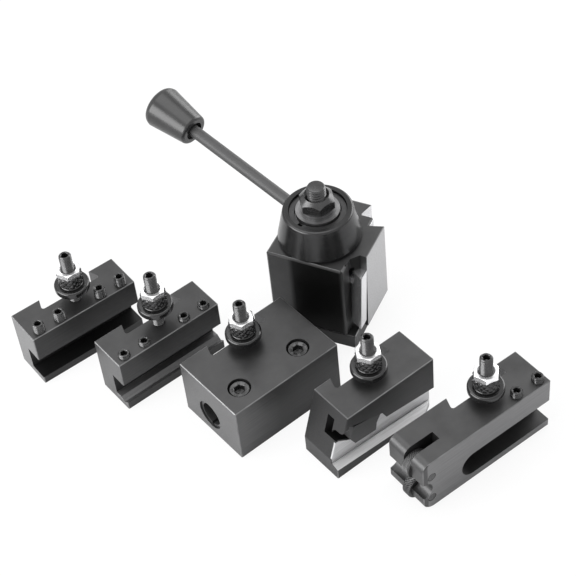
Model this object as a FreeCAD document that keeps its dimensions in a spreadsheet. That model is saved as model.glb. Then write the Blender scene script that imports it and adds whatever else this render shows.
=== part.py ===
import FreeCAD, Part
import math
import os
import re

import Sketcher

# A wedge-type quick-change tool post for a small lathe, with its set of five tool holders.
# The origin is on the post's axis at the surface that everything stands on, +Z up, millimetres.

doc = FreeCAD.newDocument("tool_post_set")
sheet = doc.addObject("Spreadsheet::Sheet", "Sizes")

# Driving sizes, one cell each

POST_SIZES = {
    "post_turn": -62.87,
    "post_side": 40.7,
    "post_top": 55.2,
    "post_edge": 1.0,
    "chamber_radius": 13.0,
    "chamber_floor": 17.0,
    "plate_length": 48.0,
    "plate_width": 40.6,
    "plate_height": 9.0,
    "plate_turn": 2.0,
    "plate_edge": 0.6,
    "post_stud_radius": 4.7625,
    "post_stud_bottom": 0.6,
    "post_stud_top": 88.0,
    "post_stud_chamfer": 0.7,
    "post_stud_crown_radius": 3.4,
    "post_stud_crown_height": 0.15,
    "running_gap": 0.05,
    "face_gap": 0.05,
    "post_nut_flats": 15.875,
    "post_nut_bottom": 75.7,
    "post_nut_height": 7.1,
    "post_nut_sink": 6.15,
    "post_nut_crown": 6.3,
    "post_nut_crown_lean": 45.0,
    "post_nut_turn": 4.0,
}

RAIL_SIZES = {
    "rail_out": 7.3,
    "rail_root": 13.65,
    "rail_crest": 15.85,
    "groove_mouth": 10.6,
    "groove_bottom": 6.45,
    "groove_crest": 6.75,
    "groove_out": 3.7,
    "groove_lean": 4.1,
    "wedge_top": 47.0,
    "wedge_bottom": 15.0,
    "wedge_lean": 7.6,
    "wedge_front": 14.15,
    "wedge_inner": 10.65,
    "wedge_inner_out": 0.6,
    "wedge_back": 7.3,
    "wedge_back_out": 3.6,
    "wedge_crest": 7.5,
    "tongue_front": 12.1,
    "tongue_back": 10.1,
    "tongue_tip": 3.0,
    "tongue_front_out": 4.0,
    "tongue_back_out": 2.2,
    "tongue_bottom": 40.0,
    "tongue_height": 4.0,
    "wedge_travel": 4.0,
    "tongue_room": 0.4,
    "window_inner": 4.0,
    "window_room": 1.0,
}

HUB_SIZES = {
    "hub_gap": 0.3,
    "hub_base_radius": 20.85,
    "hub_skirt_top": 57.3,
    "hub_rim_radius": 17.35,
    "hub_top": 73.2,
    "hub_base_round": 1.4,
    "hub_rim_round": 1.3,
    "cup_radius": 14.45,
    "cup_floor": 66.2,
    "ring_groove_radius": 15.2,
    "ring_height": 1.1,
    "ring_inner_radius": 11.6,
    "ring_opening": 2.6,
    "ring_turn": -108.0,
    "screw_outer_radius": 8.8,
    "screw_inner_radius": 7.1,
    "screw_bottom": 22.0,
    "screw_collar_radius": 11.0,
    "screw_collar_height": 1.5,
    "lift_nut_bottom": 35.0,
    "lift_nut_height": 14.0,
    "sleeve_outer_radius": 7.0,
    "sleeve_bore_radius": 4.85,
    "sleeve_flange_radius": 13.8,
    "flange_room_below": 0.3,
    "sleeve_flange_height": 2.4,
    "flange_room_above": 0.4,
    "sleeve_boss_radius": 11.0,
    "sleeve_boss_top": 73.2,
    "sleeve_seat_radius": 8.5,
}

LEVER_SIZES = {
    "lever_below_cup": 4.4,
    "lever_lift": 10.0,
    "lever_heading": 98.6,
    "lever_start": 15.0,
    "lever_radius": 3.15,
    "knob_start": 86.0,
    "knob_taper_length": 22.5,
    "knob_crown_length": 3.4,
    "knob_narrow_radius": 8.1,
    "knob_wide_radius": 11.2,
    "knob_back_taper": 0.8,
    "knob_recess_radius": 5.0,
    "knob_recess_depth": 2.2,
    "knob_bore_depth": 20.0,
    "knob_front_round": 1.6,
    "knob_back_round": 3.0,
}

FIT_SIZES = {
    "edge_break": 0.35,
    "cut_past": 1.0,
    "notch_mouth": 29.6,
    "notch_depth": 7.0,
    "notch_undercut": 2.5,
    "notch_corner_round": 1.3,
    "stud_inset": 11.0,
    "stud_radius": 3.175,
    "stud_length": 40.0,
    "stud_above_nut": 23.3,
    "stud_chamfer": 0.75,
    "stud_socket_flats": 3.2,
    "stud_socket_depth": 3.5,
    "flange_radius": 8.9,
    "flange_height": 4.0,
    "flange_round": 1.1,
    "grip_radius": 6.5,
    "grip_height": 7.0,
    "grip_chamfer": 0.5,
    "grip_neck_radius": 5.6,
    "grip_neck_height": 0.8,
    "lock_nut_flats": 11.11,
    "lock_nut_height": 3.0,
    "lock_nut_sink": 4.2,
    "lock_nut_crown": 5.4,
    "lock_nut_crown_lean": 30.0,
    "nut_foot_share": 0.54,
    "nut_foot_lean": 30.0,
    "set_screw_radius": 3.0,
    "set_screw_chamfer": 0.55,
    "set_screw_socket": 3.1,
    "set_screw_socket_depth": 3.5,
    "cap_head_radius": 5.0,
    "cap_head_height": 6.0,
    "cap_socket_flats": 5.0,
    "cap_socket_depth": 3.2,
    "cap_shank_radius": 3.0,
    "screw_tip_chamfer": 0.5,
}

# The place, turn and size of each holder as it stands beside the post

HOLDER_SIZES = {
    "turning": (-137.04, 57.64, -1.3, 60.0, 21.7, 33.0, 31.3, 40.4, -3.0),
    "vee": (-114.85, 14.89, 0.3, 60.0, 21.7, 33.0, 31.3, 43.0, -2.0),
    "bar": (-91.13, -46.74, 1.3, 63.1, 43.3, 33.0, 31.55, 37.5, -6.0),
    "parting": (-56.1, -87.0, 0.6, 53.1, 24.2, 38.3, 24.6, 42.0, 0.0),
    "knurling": (-44.26, -128.13, -1.0, 75.5, 24.1, 33.0, 46.9, 37.0, -12.0),
}
HOLDER_COLUMNS = ("left", "front", "turn", "length", "width", "height", "notch_middle", "nut_bottom",
                  "lock_turn")

TURNING_SIZES = {
    "turning_slot_bottom": 4.5,
    "turning_slot_top": 18.0,
    "turning_slot_depth": 10.4,
    "turning_screw_length": 20.0,
    "turning_screw_proud": 5.0,
    "vee_slot_bottom": 5.2,
    "vee_slot_top": 18.4,
    "vee_slot_depth": 9.5,
    "vee_screw_length": 16.0,
    "vee_screw_proud": 2.0,
    "vee_groove_front": 0.4,
    "vee_groove_back": 5.6,
    "vee_groove_depth": 1.9,
    "screw_row_inset": 4.1,
    "screw_first": 6.0,
    "screw_second": 18.0,
    "screw_third": 42.0,
    "screw_fourth": 54.0,
}

BAR_SIZES = {
    "bar_bore_radius": 7.95,
    "bar_bore_middle": 22.9,
    "bar_bore_height": 12.3,
    "bar_sleeve_bore": 6.35,
    "bar_sleeve_slit": 1.6,
    "bar_sleeve_inset": 1.0,
    "bar_screw_row": 11.7,
    "bar_screw_left": 11.8,
    "bar_screw_right": 47.9,
    "bar_sink_radius": 5.7,
    "bar_sink_depth": 7.0,
    "bar_screw_length": 14.0,
    "cotter_radius": 4.7,
    "cotter_bottom": 5.5,
    "cotter_top": 18.5,
    "cotter_hole_top": 19.5,
}

PARTING_SIZES = {
    "parting_foot_left": -8.5,
    "parting_foot_height": 10.5,
    "parting_corner_out": 6.7,
    "parting_corner_back": 4.0,
    "parting_corner_top": 15.2,
    "blade_wall": 4.0,
    "ledge_left": 8.0,
    "ledge_right": 4.2,
    "ledge_fall": 2.2,
    "ledge_relief": 0.5,
    "ledge_relief_height": 0.8,
    "jaw_step_height": 20.5,
    "jaw_step": 22.8,
    "jaw_right_height": 17.2,
    "jaw_upper": 20.4,
    "jaw_upper_height": 25.3,
    "jaw_left": -2.0,
    "jaw_left_height": 32.5,
    "tooth_right": 0.3,
    "tooth_height": 4.0,
    "tooth_depth": 7.8,
    "tooth_round": 3.0,
    "cavity_depth": 12.3,
    "cavity_foot_left": 3.4,
    "cavity_foot": 16.3,
    "cavity_ramp": 0.67,
    "cavity_foot_right": 16.7,
    "cavity_foot_fall": 0.9,
    "cavity_side": 17.5,
    "cavity_side_height": 20.8,
    "clamp_gap": 0.3,
    "clamp_front": 0.5,
    "clamp_left": 0.8,
    "clamp_left_height": 22.0,
    "clamp_crown_left": 3.5,
    "clamp_crown_left_drop": 1.7,
    "clamp_crown": 11.0,
    "clamp_crown_drop": 0.7,
    "clamp_back_room": 0.8,
    "clamp_lip": 1.4,
    "clamp_bite": 20.3,
    "clamp_web": 4.6,
    "clamp_screw_left": 12.0,
    "clamp_screw_height": 24.6,
    "clamp_screw_radius": 2.5,
    "clamp_screw_head_radius": 4.25,
    "clamp_screw_head": 2.8,
    "clamp_screw_room": 0.25,
    "clamp_screw_sink": 3.0,
    "clamp_screw_reach": 7.5,
    "clamp_screw_socket": 3.0,
    "clamp_screw_socket_depth": 1.8,
}

KNURLING_SIZES = {
    "nose_left": -2.7,
    "nose_top_round": 4.6,
    "nose_bottom_round": 6.5,
    "knurl_slot_front": 8.3,
    "knurl_slot_width": 5.0,
    "knurl_slot_end": 14.4,
    "nose_scallop_radius": 5.0,
    "nose_scallop_left": -2.2,
    "nose_scallop_height": 14.7,
    "wheel_radius": 7.14,
    "wheel_width": 4.7625,
    "wheel_chamfer": 0.4,
    "wheel_left": 2.4,
    "wheel_low": 7.2,
    "wheel_high": 22.6,
    "pin_radius": 2.38,
    "pin_length": 20.0,
    "pin_chamfer": 0.3,
    "tool_slot_bottom": 4.2,
    "tool_slot_top": 18.7,
    "tool_slot_depth": 9.2,
    "tool_slot_left": 27.9,
    "knurling_screw_left": 58.0,
    "knurling_screw_right": 71.3,
    "knurling_screw_row": 4.4,
    "knurling_screw_length": 16.0,
    "knurling_screw_proud": 3.0,
}


def fill_sheet(groups):
    row = 0
    for group in groups:
        for alias, size in group.items():
            row += 1
            sheet.set("A%d" % row, alias)
            sheet.set("B%d" % row, str(size))
            sheet.setAlias("B%d" % row, alias)
    doc.recompute()


def holder_cells():
    cells = {}
    for holder, sizes in HOLDER_SIZES.items():
        for column, size in zip(HOLDER_COLUMNS, sizes):
            cells[holder + "_" + column] = size
    return cells


fill_sheet([POST_SIZES, RAIL_SIZES, HUB_SIZES, LEVER_SIZES, FIT_SIZES, holder_cells(), TURNING_SIZES,
            BAR_SIZES, PARTING_SIZES, KNURLING_SIZES])


# Helpers: a formula is text that uses the sheet's aliases

NEAR = 0.01
HALF = "post_side / 2"
GROOVE_DROP = "(post_top - plate_height) * tan(groove_lean)"
FLANGE_BOTTOM = "cup_floor + screw_collar_height + flange_room_below"
FLANGE_TOP = FLANGE_BOTTOM + " + sleeve_flange_height"
RING_BOTTOM = FLANGE_TOP + " + flange_room_above"
JAW_SLOPE = "(jaw_left_height - jaw_upper_height) / (jaw_upper - jaw_left)"


def number(formula):
    return float(sheet.evalExpression(str(formula)))


def bind(thing, path, formula):
    linked = re.sub(r"\b([a-z]+_[a-z_]+)\b", r"Sizes.\1", str(formula))
    thing.setExpression(path, linked)


def swapped(points):
    return [(second, first) for first, second in points]


def new_body(label):
    body = doc.addObject("PartDesign::Body", label)
    body.Label = label
    return body


def sketch_on(body, role, offset="0"):
    plane = [item for item in body.Origin.OriginFeatures if item.Role == role][0]
    sketch = body.newObject("Sketcher::SketchObject", "Sketch")
    sketch.AttachmentSupport = [(plane, "")]
    sketch.MapMode = "FlatFace"
    bind(sketch, "AttachmentOffset.Base.z", offset)
    return sketch


def pin_point(sketch, edge, end, place):
    for kind, formula in zip(("DistanceX", "DistanceY"), place):
        constraint = Sketcher.Constraint(kind, -1, 1, edge, end, number(formula))
        index = sketch.addConstraint(constraint)
        bind(sketch, "Constraints[%d]" % index, formula)


def outline(sketch, points):
    first = sketch.GeometryCount
    corners = [FreeCAD.Vector(number(across), number(up), 0) for across, up in points]
    for index, corner in enumerate(corners):
        sketch.addGeometry(Part.LineSegment(corner, corners[(index + 1) % len(corners)]))
    for index, place in enumerate(points):
        edge = first + index
        edge_before = first + (index - 1) % len(points)
        sketch.addConstraint(Sketcher.Constraint("Coincident", edge_before, 2, edge, 1))
        pin_point(sketch, edge, 1, place)


def circle(sketch, place, radius):
    middle = FreeCAD.Vector(number(place[0]), number(place[1]), 0)
    edge = sketch.addGeometry(Part.Circle(middle, FreeCAD.Vector(0, 0, 1), number(radius)))
    pin_point(sketch, edge, 3, place)
    index = sketch.addConstraint(Sketcher.Constraint("Radius", edge, number(radius)))
    bind(sketch, "Constraints[%d]" % index, radius)


def hexagon(sketch, place, flats):
    points = []
    for corner in range(6):
        turn = "%d" % (60 * corner)
        across = "(%s) + (%s) / sqrt(3) * cos(%s)" % (place[0], flats, turn)
        up = "(%s) + (%s) / sqrt(3) * sin(%s)" % (place[1], flats, turn)
        points.append((across, up))
    outline(sketch, points)


def pad(body, sketch, length, back=False):
    feature = body.newObject("PartDesign::Pad", "Pad")
    feature.Profile = sketch
    feature.Reversed = back
    bind(feature, "Length", length)
    doc.recompute()
    return feature


def pocket(body, sketch, depth=None):
    before = body.Shape.Volume
    feature = body.newObject("PartDesign::Pocket", "Pocket")
    feature.Profile = sketch
    if depth is None:
        feature.Type = "ThroughAll"
    else:
        bind(feature, "Length", depth)
    doc.recompute()
    if body.Shape.Volume > before - NEAR:
        raise RuntimeError(body.Label + ": a pocket cuts nothing")
    return feature


def revolve(body, points, groove=False):
    sketch = sketch_on(body, "XZ_Plane")
    outline(sketch, points)
    kind = "PartDesign::Groove" if groove else "PartDesign::Revolution"
    feature = body.newObject(kind, "Turned")
    feature.Profile = sketch
    feature.ReferenceAxis = (sketch, ["V_Axis"])
    feature.Angle = 360
    doc.recompute()
    return feature


def loft(body, low, high, low_offset, high_offset, kind):
    sections = []
    for points, offset in ((low, low_offset), (high, high_offset)):
        sketch = sketch_on(body, "XY_Plane", offset)
        outline(sketch, points)
        sections.append(sketch)
    feature = body.newObject(kind, "Loft")
    feature.Profile = sections[0]
    feature.Sections = [sections[1]]
    feature.Ruled = True
    doc.recompute()
    return feature


def edges_of(feature, wanted):
    return ["Edge%d" % (index + 1) for index, edge in enumerate(feature.Shape.Edges) if wanted(edge)]


def dress(body, kind, size_path, size, wanted):
    tip = body.Tip
    names = edges_of(tip, wanted)
    if not names:
        raise RuntimeError(body.Label + ": no edge to dress")
    feature = body.newObject(kind, "Dressed")
    feature.Base = (tip, names)
    bind(feature, size_path, size)
    doc.recompute()
    return feature


def round_edges(body, size, wanted):
    return dress(body, "PartDesign::Fillet", "Radius", size, wanted)


def break_edges(body, size, wanted):
    return dress(body, "PartDesign::Chamfer", "Size", size, wanted)


def every_edge(edge):
    return True


def ring_at(radius, height):
    ring_radius = number(radius)
    level = number(height)

    def wanted(edge):
        curve = edge.Curve
        if not isinstance(curve, Part.Circle):
            return False
        return abs(curve.Radius - ring_radius) < NEAR and abs(curve.Center.z - level) < NEAR
    return wanted


def edge_through(first, second):
    ends = [FreeCAD.Vector(*[number(part) for part in place]) for place in (first, second)]

    def wanted(edge):
        if len(edge.Vertexes) != 2:
            return False
        places = [vertex.Point for vertex in edge.Vertexes]
        return all(min(place.distanceToPoint(end) for place in places) < NEAR for end in ends)
    return wanted


def turned_about_z(angle):
    return FreeCAD.Rotation(FreeCAD.Vector(0, 0, 1), angle)


def holder_place(holder):
    corner = FreeCAD.Vector(number(holder + "_left"), number(holder + "_front"), 0)
    return FreeCAD.Placement(corner, turned_about_z(number(holder + "_turn")))


def seat(piece, holder, across, back, up, turn=None):
    spot = FreeCAD.Vector(number(across), number(back), number(up))
    local = FreeCAD.Placement(spot, turn or FreeCAD.Rotation())
    piece.Placement = holder_place(holder).multiply(local)


PARTS = []


def finished(piece):
    PARTS.append(piece)
    return piece


POST_PLACE = FreeCAD.Placement(FreeCAD.Vector(), turned_about_z(number("post_turn")))
ALONG_BACK = FreeCAD.Rotation(FreeCAD.Vector(1, 0, 0), -90)


# Threaded fasteners, their threads left as plain cylinders

def hex_nut(label, flats, height, bore, sink, crown, crown_lean):
    body = new_body(label)
    sketch = sketch_on(body, "XY_Plane")
    hexagon(sketch, ("0", "0"), flats)
    pad(body, sketch, height)
    past = "%s / sqrt(3) + cut_past" % flats
    drop = "(%s - %s) * tan(%s)" % (past, crown, crown_lean)
    revolve(body, [(crown, height), (past, height), (past, "%s - %s" % (height, drop))], groove=True)
    foot = "%s * nut_foot_share" % flats
    revolve(body, [(foot, "0"), (past, "(%s - %s) * tan(nut_foot_lean)" % (past, foot)), (past, "0")],
            groove=True)
    sketch = sketch_on(body, "XY_Plane", height)
    circle(sketch, ("0", "0"), bore)
    pocket(body, sketch)
    lip = "%s - ((%s) - (%s))" % (height, sink, bore)
    revolve(body, [("0", height), (sink, height), (bore, lip), ("0", lip)], groove=True)
    return finished(body)


def socket_screw(label, radius, length, chamfer, flats, depth):
    body = new_body(label)
    shoulder = "(%s) - (%s)" % (radius, chamfer)
    revolve(body, [("0", "0"), (shoulder, "0"), (radius, chamfer),
                   (radius, "(%s) - (%s)" % (length, chamfer)), (shoulder, length), ("0", length)])
    sketch = sketch_on(body, "XY_Plane", length)
    hexagon(sketch, ("0", "0"), flats)
    pocket(body, sketch, depth)
    return finished(body)


def cap_screw(label, head_radius, head_height, shank_radius, shank_length, flats, depth):
    body = new_body(label)
    edge = "edge_break"
    revolve(body, [("0", "-(%s)" % shank_length),
                   (shank_radius + " - screw_tip_chamfer", "-(%s)" % shank_length),
                   (shank_radius, "screw_tip_chamfer - (%s)" % shank_length),
                   (shank_radius, "0"), (head_radius, "0"),
                   (head_radius, "%s - %s" % (head_height, edge)),
                   ("%s - %s" % (head_radius, edge), head_height), ("0", head_height)])
    sketch = sketch_on(body, "XY_Plane", head_height)
    hexagon(sketch, ("0", "0"), flats)
    pocket(body, sketch, depth)
    return finished(body)


# The post: base nut plate, stud, block with two dovetail rails

def nut_plate():
    body = new_body("nut_plate")
    sketch = sketch_on(body, "XY_Plane")
    half_length = "plate_length / 2"
    half_width = "plate_width / 2"
    outline(sketch, [("-" + half_length, "-" + half_width), (half_length, "-" + half_width),
                     (half_length, half_width), ("-" + half_length, half_width)])
    pad(body, sketch, "plate_height")
    break_edges(body, "plate_edge", every_edge)
    sketch = sketch_on(body, "XY_Plane", "plate_height")
    circle(sketch, ("0", "0"), "post_stud_radius")
    pocket(body, sketch, "plate_height - post_stud_bottom")
    body.Placement = FreeCAD.Placement(FreeCAD.Vector(), turned_about_z(number("post_turn + plate_turn")))
    return finished(body)


def centre_stud():
    body = new_body("centre_stud")
    crown = "post_stud_top - post_stud_crown_height"
    revolve(body, [("0", "post_stud_bottom"), ("post_stud_radius", "post_stud_bottom"),
                   ("post_stud_radius", crown + " - post_stud_chamfer"),
                   ("post_stud_radius - post_stud_chamfer", crown),
                   ("post_stud_crown_radius", "post_stud_top"), ("0", "post_stud_top")])
    return finished(body)


def rail_section():
    crest = HALF + " + rail_out"
    root = HALF + " - cut_past"
    front = "-groove_mouth - cut_past - %s" % GROOVE_DROP
    return [(root, front), (crest, front), (crest, "rail_crest"), (HALF, "rail_root"), (root, "rail_root")]


def groove_section(drop):
    past = HALF + " + rail_out + cut_past"
    slope = "(groove_bottom - groove_crest) / (rail_out - groove_out)"
    front = "-groove_mouth - 2 * cut_past - 2 * %s" % GROOVE_DROP
    return [(HALF, front), (past, front), (past, "-groove_crest + %s * cut_past - %s" % (slope, drop)),
            (HALF + " + groove_out", "-groove_bottom - %s" % drop), (HALF, "-groove_mouth - %s" % drop)]


def post_block():
    body = new_body("post_block")
    sketch = sketch_on(body, "XY_Plane", "plate_height")
    outline(sketch, [("-" + HALF, "-" + HALF), (HALF, "-" + HALF), (HALF, HALF), ("-" + HALF, HALF)])
    pad(body, sketch, "post_top - plate_height")
    break_edges(body, "post_edge", every_edge)
    for station in (list, swapped):
        sketch = sketch_on(body, "XY_Plane", "plate_height")
        outline(sketch, station(rail_section()))
        pad(body, sketch, "post_top - plate_height")
        loft(body, station(groove_section(GROOVE_DROP)), station(groove_section("0")), "plate_height",
             "post_top", "PartDesign::SubtractiveLoft")
    sketch = sketch_on(body, "XY_Plane", "post_top")
    circle(sketch, ("0", "0"), "chamber_radius")
    pocket(body, sketch, "post_top - chamber_floor")
    sketch = sketch_on(body, "XY_Plane", "post_top")
    circle(sketch, ("0", "0"), "post_stud_radius + running_gap")
    pocket(body, sketch)
    window_top = "tongue_bottom + tongue_height + wedge_travel + window_room"
    window_near = "-tongue_front - tongue_room"
    window_far = "-tongue_back + tongue_room + wedge_travel * tan(groove_lean)"
    for station in (list, swapped):
        sketch = sketch_on(body, "XY_Plane", window_top)
        outline(sketch, station([("window_inner", window_near), (HALF + " + groove_out", window_near),
                                 (HALF + " + groove_out", window_far), ("window_inner", window_far)]))
        pocket(body, sketch, "tongue_height + wedge_travel + 2 * window_room")
    body.Placement = POST_PLACE
    return finished(body)


def wedge_section(height):
    crest = HALF + " + rail_out"
    drop = "(wedge_top - (%s)) * tan(wedge_lean)" % height
    return [(crest, "-wedge_front - " + drop), (HALF + " + wedge_inner_out", "-wedge_inner - " + drop),
            (HALF + " + wedge_back_out", "-wedge_back - " + drop), (crest, "-wedge_crest - " + drop)]


def tongue_section():
    return [("tongue_tip", "-tongue_front"), (HALF + " + tongue_front_out", "-tongue_front"),
            (HALF + " + tongue_back_out", "-tongue_back"), ("tongue_tip", "-tongue_back")]


def wedge(label, station):
    body = new_body(label)
    loft(body, station(wedge_section("wedge_bottom")), station(wedge_section("wedge_top")),
         "wedge_bottom", "wedge_top", "PartDesign::AdditiveLoft")
    sketch = sketch_on(body, "XY_Plane", "tongue_bottom")
    outline(sketch, station(tongue_section()))
    pad(body, sketch, "tongue_height")
    body.Placement = POST_PLACE
    return finished(body)


# The turning hub on the post: cone, screw, snap ring, clamp sleeve and lift nut

def lever_direction():
    lift = math.radians(number("lever_lift"))
    heading = math.radians(number("lever_heading"))
    return FreeCAD.Vector(math.cos(lift) * math.cos(heading), math.cos(lift) * math.sin(heading), math.sin(lift))


def along_lever(distance):
    start = FreeCAD.Vector(0, 0, number("cup_floor - lever_below_cup")) + lever_direction() * distance
    return FreeCAD.Placement(start, FreeCAD.Rotation(FreeCAD.Vector(0, 0, 1), lever_direction()))


def hub_cone():
    turned = new_body("hub_turned")
    bottom = "post_top + hub_gap"
    revolve(turned, [("screw_outer_radius", bottom), ("hub_base_radius", bottom),
                     ("hub_base_radius", "hub_skirt_top"), ("hub_rim_radius", "hub_top"),
                     ("cup_radius", "hub_top"), ("cup_radius", RING_BOTTOM + " + ring_height"),
                     ("ring_groove_radius", RING_BOTTOM + " + ring_height"), ("ring_groove_radius", RING_BOTTOM),
                     ("cup_radius", RING_BOTTOM), ("cup_radius", "cup_floor"),
                     ("screw_outer_radius", "cup_floor")])
    round_edges(turned, "hub_base_round", ring_at("hub_base_radius", bottom))
    round_edges(turned, "hub_rim_round", ring_at("hub_rim_radius", "hub_top"))
    bore = doc.addObject("Part::Cylinder", "lever_bore")
    bind(bore, "Radius", "lever_radius")
    bind(bore, "Height", "hub_base_radius")
    bore.Placement = along_lever(number("lever_start"))
    cone = doc.addObject("Part::Cut", "hub_cone")
    cone.Label = "hub_cone"
    cone.Base = turned
    cone.Tool = bore
    doc.recompute()
    return finished(cone)


def hub_screw():
    body = new_body("hub_screw")
    collar_top = "cup_floor + screw_collar_height"
    revolve(body, [("screw_inner_radius", "screw_bottom"), ("screw_outer_radius", "screw_bottom"),
                   ("screw_outer_radius", "cup_floor"), ("screw_collar_radius", "cup_floor"),
                   ("screw_collar_radius", collar_top), ("screw_inner_radius", collar_top)])
    return finished(body)


def hub_retaining_ring():
    body = new_body("hub_retaining_ring")
    outer = "ring_groove_radius"
    sketch = sketch_on(body, "XY_Plane", RING_BOTTOM)
    circle(sketch, ("0", "0"), outer)
    circle(sketch, ("0", "0"), "ring_inner_radius")
    pad(body, sketch, "ring_height")
    sketch = sketch_on(body, "XY_Plane", RING_BOTTOM + " + ring_height")
    half = "ring_opening / 2"
    past = outer + " + cut_past"
    outline(sketch, [("0", "-" + half), (past, "-" + half), (past, half), ("0", half)])
    pocket(body, sketch)
    body.Placement = FreeCAD.Placement(FreeCAD.Vector(), turned_about_z(number("post_turn + ring_turn")))
    return finished(body)


def clamp_sleeve():
    body = new_body("clamp_sleeve")
    revolve(body, [("sleeve_bore_radius", "chamber_floor"), ("sleeve_outer_radius", "chamber_floor"),
                   ("sleeve_outer_radius", FLANGE_BOTTOM), ("sleeve_flange_radius", FLANGE_BOTTOM),
                   ("sleeve_flange_radius", FLANGE_TOP), ("sleeve_boss_radius", FLANGE_TOP),
                   ("sleeve_boss_radius", "sleeve_boss_top"),
                   ("sleeve_seat_radius", "sleeve_boss_top"),
                   ("sleeve_seat_radius", "post_nut_bottom - face_gap"),
                   ("sleeve_bore_radius", "post_nut_bottom - face_gap")])
    return finished(body)


def lift_nut():
    body = new_body("lift_nut")
    sketch = sketch_on(body, "XY_Plane", "lift_nut_bottom")
    circle(sketch, ("0", "0"), "chamber_radius - running_gap")
    circle(sketch, ("0", "0"), "screw_outer_radius + running_gap")
    pad(body, sketch, "lift_nut_height")
    for station in (list, swapped):
        sketch = sketch_on(body, "XY_Plane", "tongue_bottom + tongue_height + tongue_room / 2")
        near = "-chamber_radius"
        far = "-tongue_back + tongue_room"
        outline(sketch, station([("-chamber_radius", near), ("chamber_radius", near), ("chamber_radius", far),
                                 ("-chamber_radius", far)]))
        pocket(body, sketch, "tongue_height + tongue_room")
    body.Placement = POST_PLACE
    return finished(body)


def lever_rod():
    rod = doc.addObject("Part::Cylinder", "lever_rod")
    rod.Label = "lever_rod"
    bind(rod, "Radius", "lever_radius")
    bind(rod, "Height", "knob_start + knob_bore_depth - lever_start")
    rod.Placement = along_lever(number("lever_start"))
    doc.recompute()
    return finished(rod)


def lever_knob():
    body = new_body("lever_knob")
    length = "knob_taper_length + knob_crown_length"
    back = "knob_wide_radius - knob_back_taper"
    revolve(body, [("lever_radius", "knob_recess_depth"), ("knob_recess_radius", "knob_recess_depth"),
                   ("knob_recess_radius", "0"), ("knob_narrow_radius", "0"),
                   ("knob_wide_radius", "knob_taper_length"), (back, length), ("0", length),
                   ("0", "knob_bore_depth"), ("lever_radius", "knob_bore_depth")])
    round_edges(body, "knob_front_round", ring_at("knob_narrow_radius", "0"))
    round_edges(body, "knob_back_round", ring_at(back, length))
    body.Placement = along_lever(number("knob_start"))
    return finished(body)


# What every holder has: dovetail notch, height stud, thumb nut and lock nut

def box_base(body, length, width, height):
    sketch = sketch_on(body, "XY_Plane")
    outline(sketch, [("0", "0"), (length, "0"), (length, width), ("0", width)])
    pad(body, sketch, height)
    break_edges(body, "edge_break", every_edge)


def cut_notch(body, holder):
    width = holder + "_width"
    middle = holder + "_notch_middle"
    floor = width + " - notch_depth"
    mouth = "notch_mouth / 2"
    foot = "(notch_mouth / 2 + notch_undercut)"
    past = width + " + cut_past"
    flare = "(notch_mouth / 2 - notch_undercut / notch_depth * cut_past)"
    sketch = sketch_on(body, "XY_Plane", holder + "_height")
    outline(sketch, [("%s - %s" % (middle, foot), floor), ("%s + %s" % (middle, foot), floor),
                     ("%s + %s" % (middle, mouth), width), ("%s + %s" % (middle, flare), past),
                     ("%s - %s" % (middle, flare), past), ("%s - %s" % (middle, mouth), width)])
    pocket(body, sketch)
    for corner in ("%s - %s" % (middle, foot), "%s + %s" % (middle, foot)):
        round_edges(body, "notch_corner_round", edge_through((corner, floor, "0"),
                                                             (corner, floor, holder + "_height")))


def cut_stud_hole(body, holder):
    sketch = sketch_on(body, "XY_Plane", holder + "_height")
    circle(sketch, (holder + "_notch_middle", holder + "_width - stud_inset"), "stud_radius")
    pocket(body, sketch, "%s_height - (%s_nut_bottom + stud_above_nut - stud_length)" % (holder, holder))


def thumb_nut(label):
    body = new_body(label)
    bore = "stud_radius + running_gap"
    neck_top = "flange_height + grip_neck_height"
    top = "flange_height + grip_height - face_gap"
    revolve(body, [(bore, "0"), ("flange_radius", "0"), ("flange_radius", "flange_height"),
                   ("grip_neck_radius", "flange_height"), ("grip_neck_radius", neck_top),
                   ("grip_radius", neck_top), ("grip_radius", top + " - grip_chamfer"),
                   ("grip_radius - grip_chamfer", top), (bore, top)])
    round_edges(body, "flange_round", ring_at("flange_radius", "0"))
    round_edges(body, "flange_round", ring_at("flange_radius", "flange_height"))
    return finished(body)


def height_stop(holder):
    across = holder + "_notch_middle"
    back = holder + "_width - stud_inset"
    stud = socket_screw(holder + "_height_stud", "stud_radius", "stud_length", "stud_chamfer",
                        "stud_socket_flats", "stud_socket_depth")
    seat(stud, holder, across, back, holder + "_nut_bottom + stud_above_nut - stud_length")
    nut = thumb_nut(holder + "_thumb_nut")
    seat(nut, holder, across, back, holder + "_nut_bottom")
    lock = hex_nut(holder + "_lock_nut", "lock_nut_flats", "lock_nut_height", "stud_radius + running_gap",
                   "lock_nut_sink", "lock_nut_crown", "lock_nut_crown_lean")
    seat(lock, holder, across, back, holder + "_nut_bottom + flange_height + grip_height",
         turned_about_z(number(holder + "_lock_turn")))


def clamp_screws(body, holder, places, row, length, proud, depth):
    for place in places:
        sketch = sketch_on(body, "XY_Plane", holder + "_height")
        circle(sketch, (place, row), "set_screw_radius + running_gap")
        pocket(body, sketch, depth)
    for index, place in enumerate(places):
        screw = socket_screw("%s_set_screw_%d" % (holder, index + 1), "set_screw_radius", length,
                             "set_screw_chamfer", "set_screw_socket", "set_screw_socket_depth")
        seat(screw, holder, place, row, "%s_height + %s - %s" % (holder, proud, length))


# The turning holder and the vee holder, with a square tool slot along the front

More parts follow.
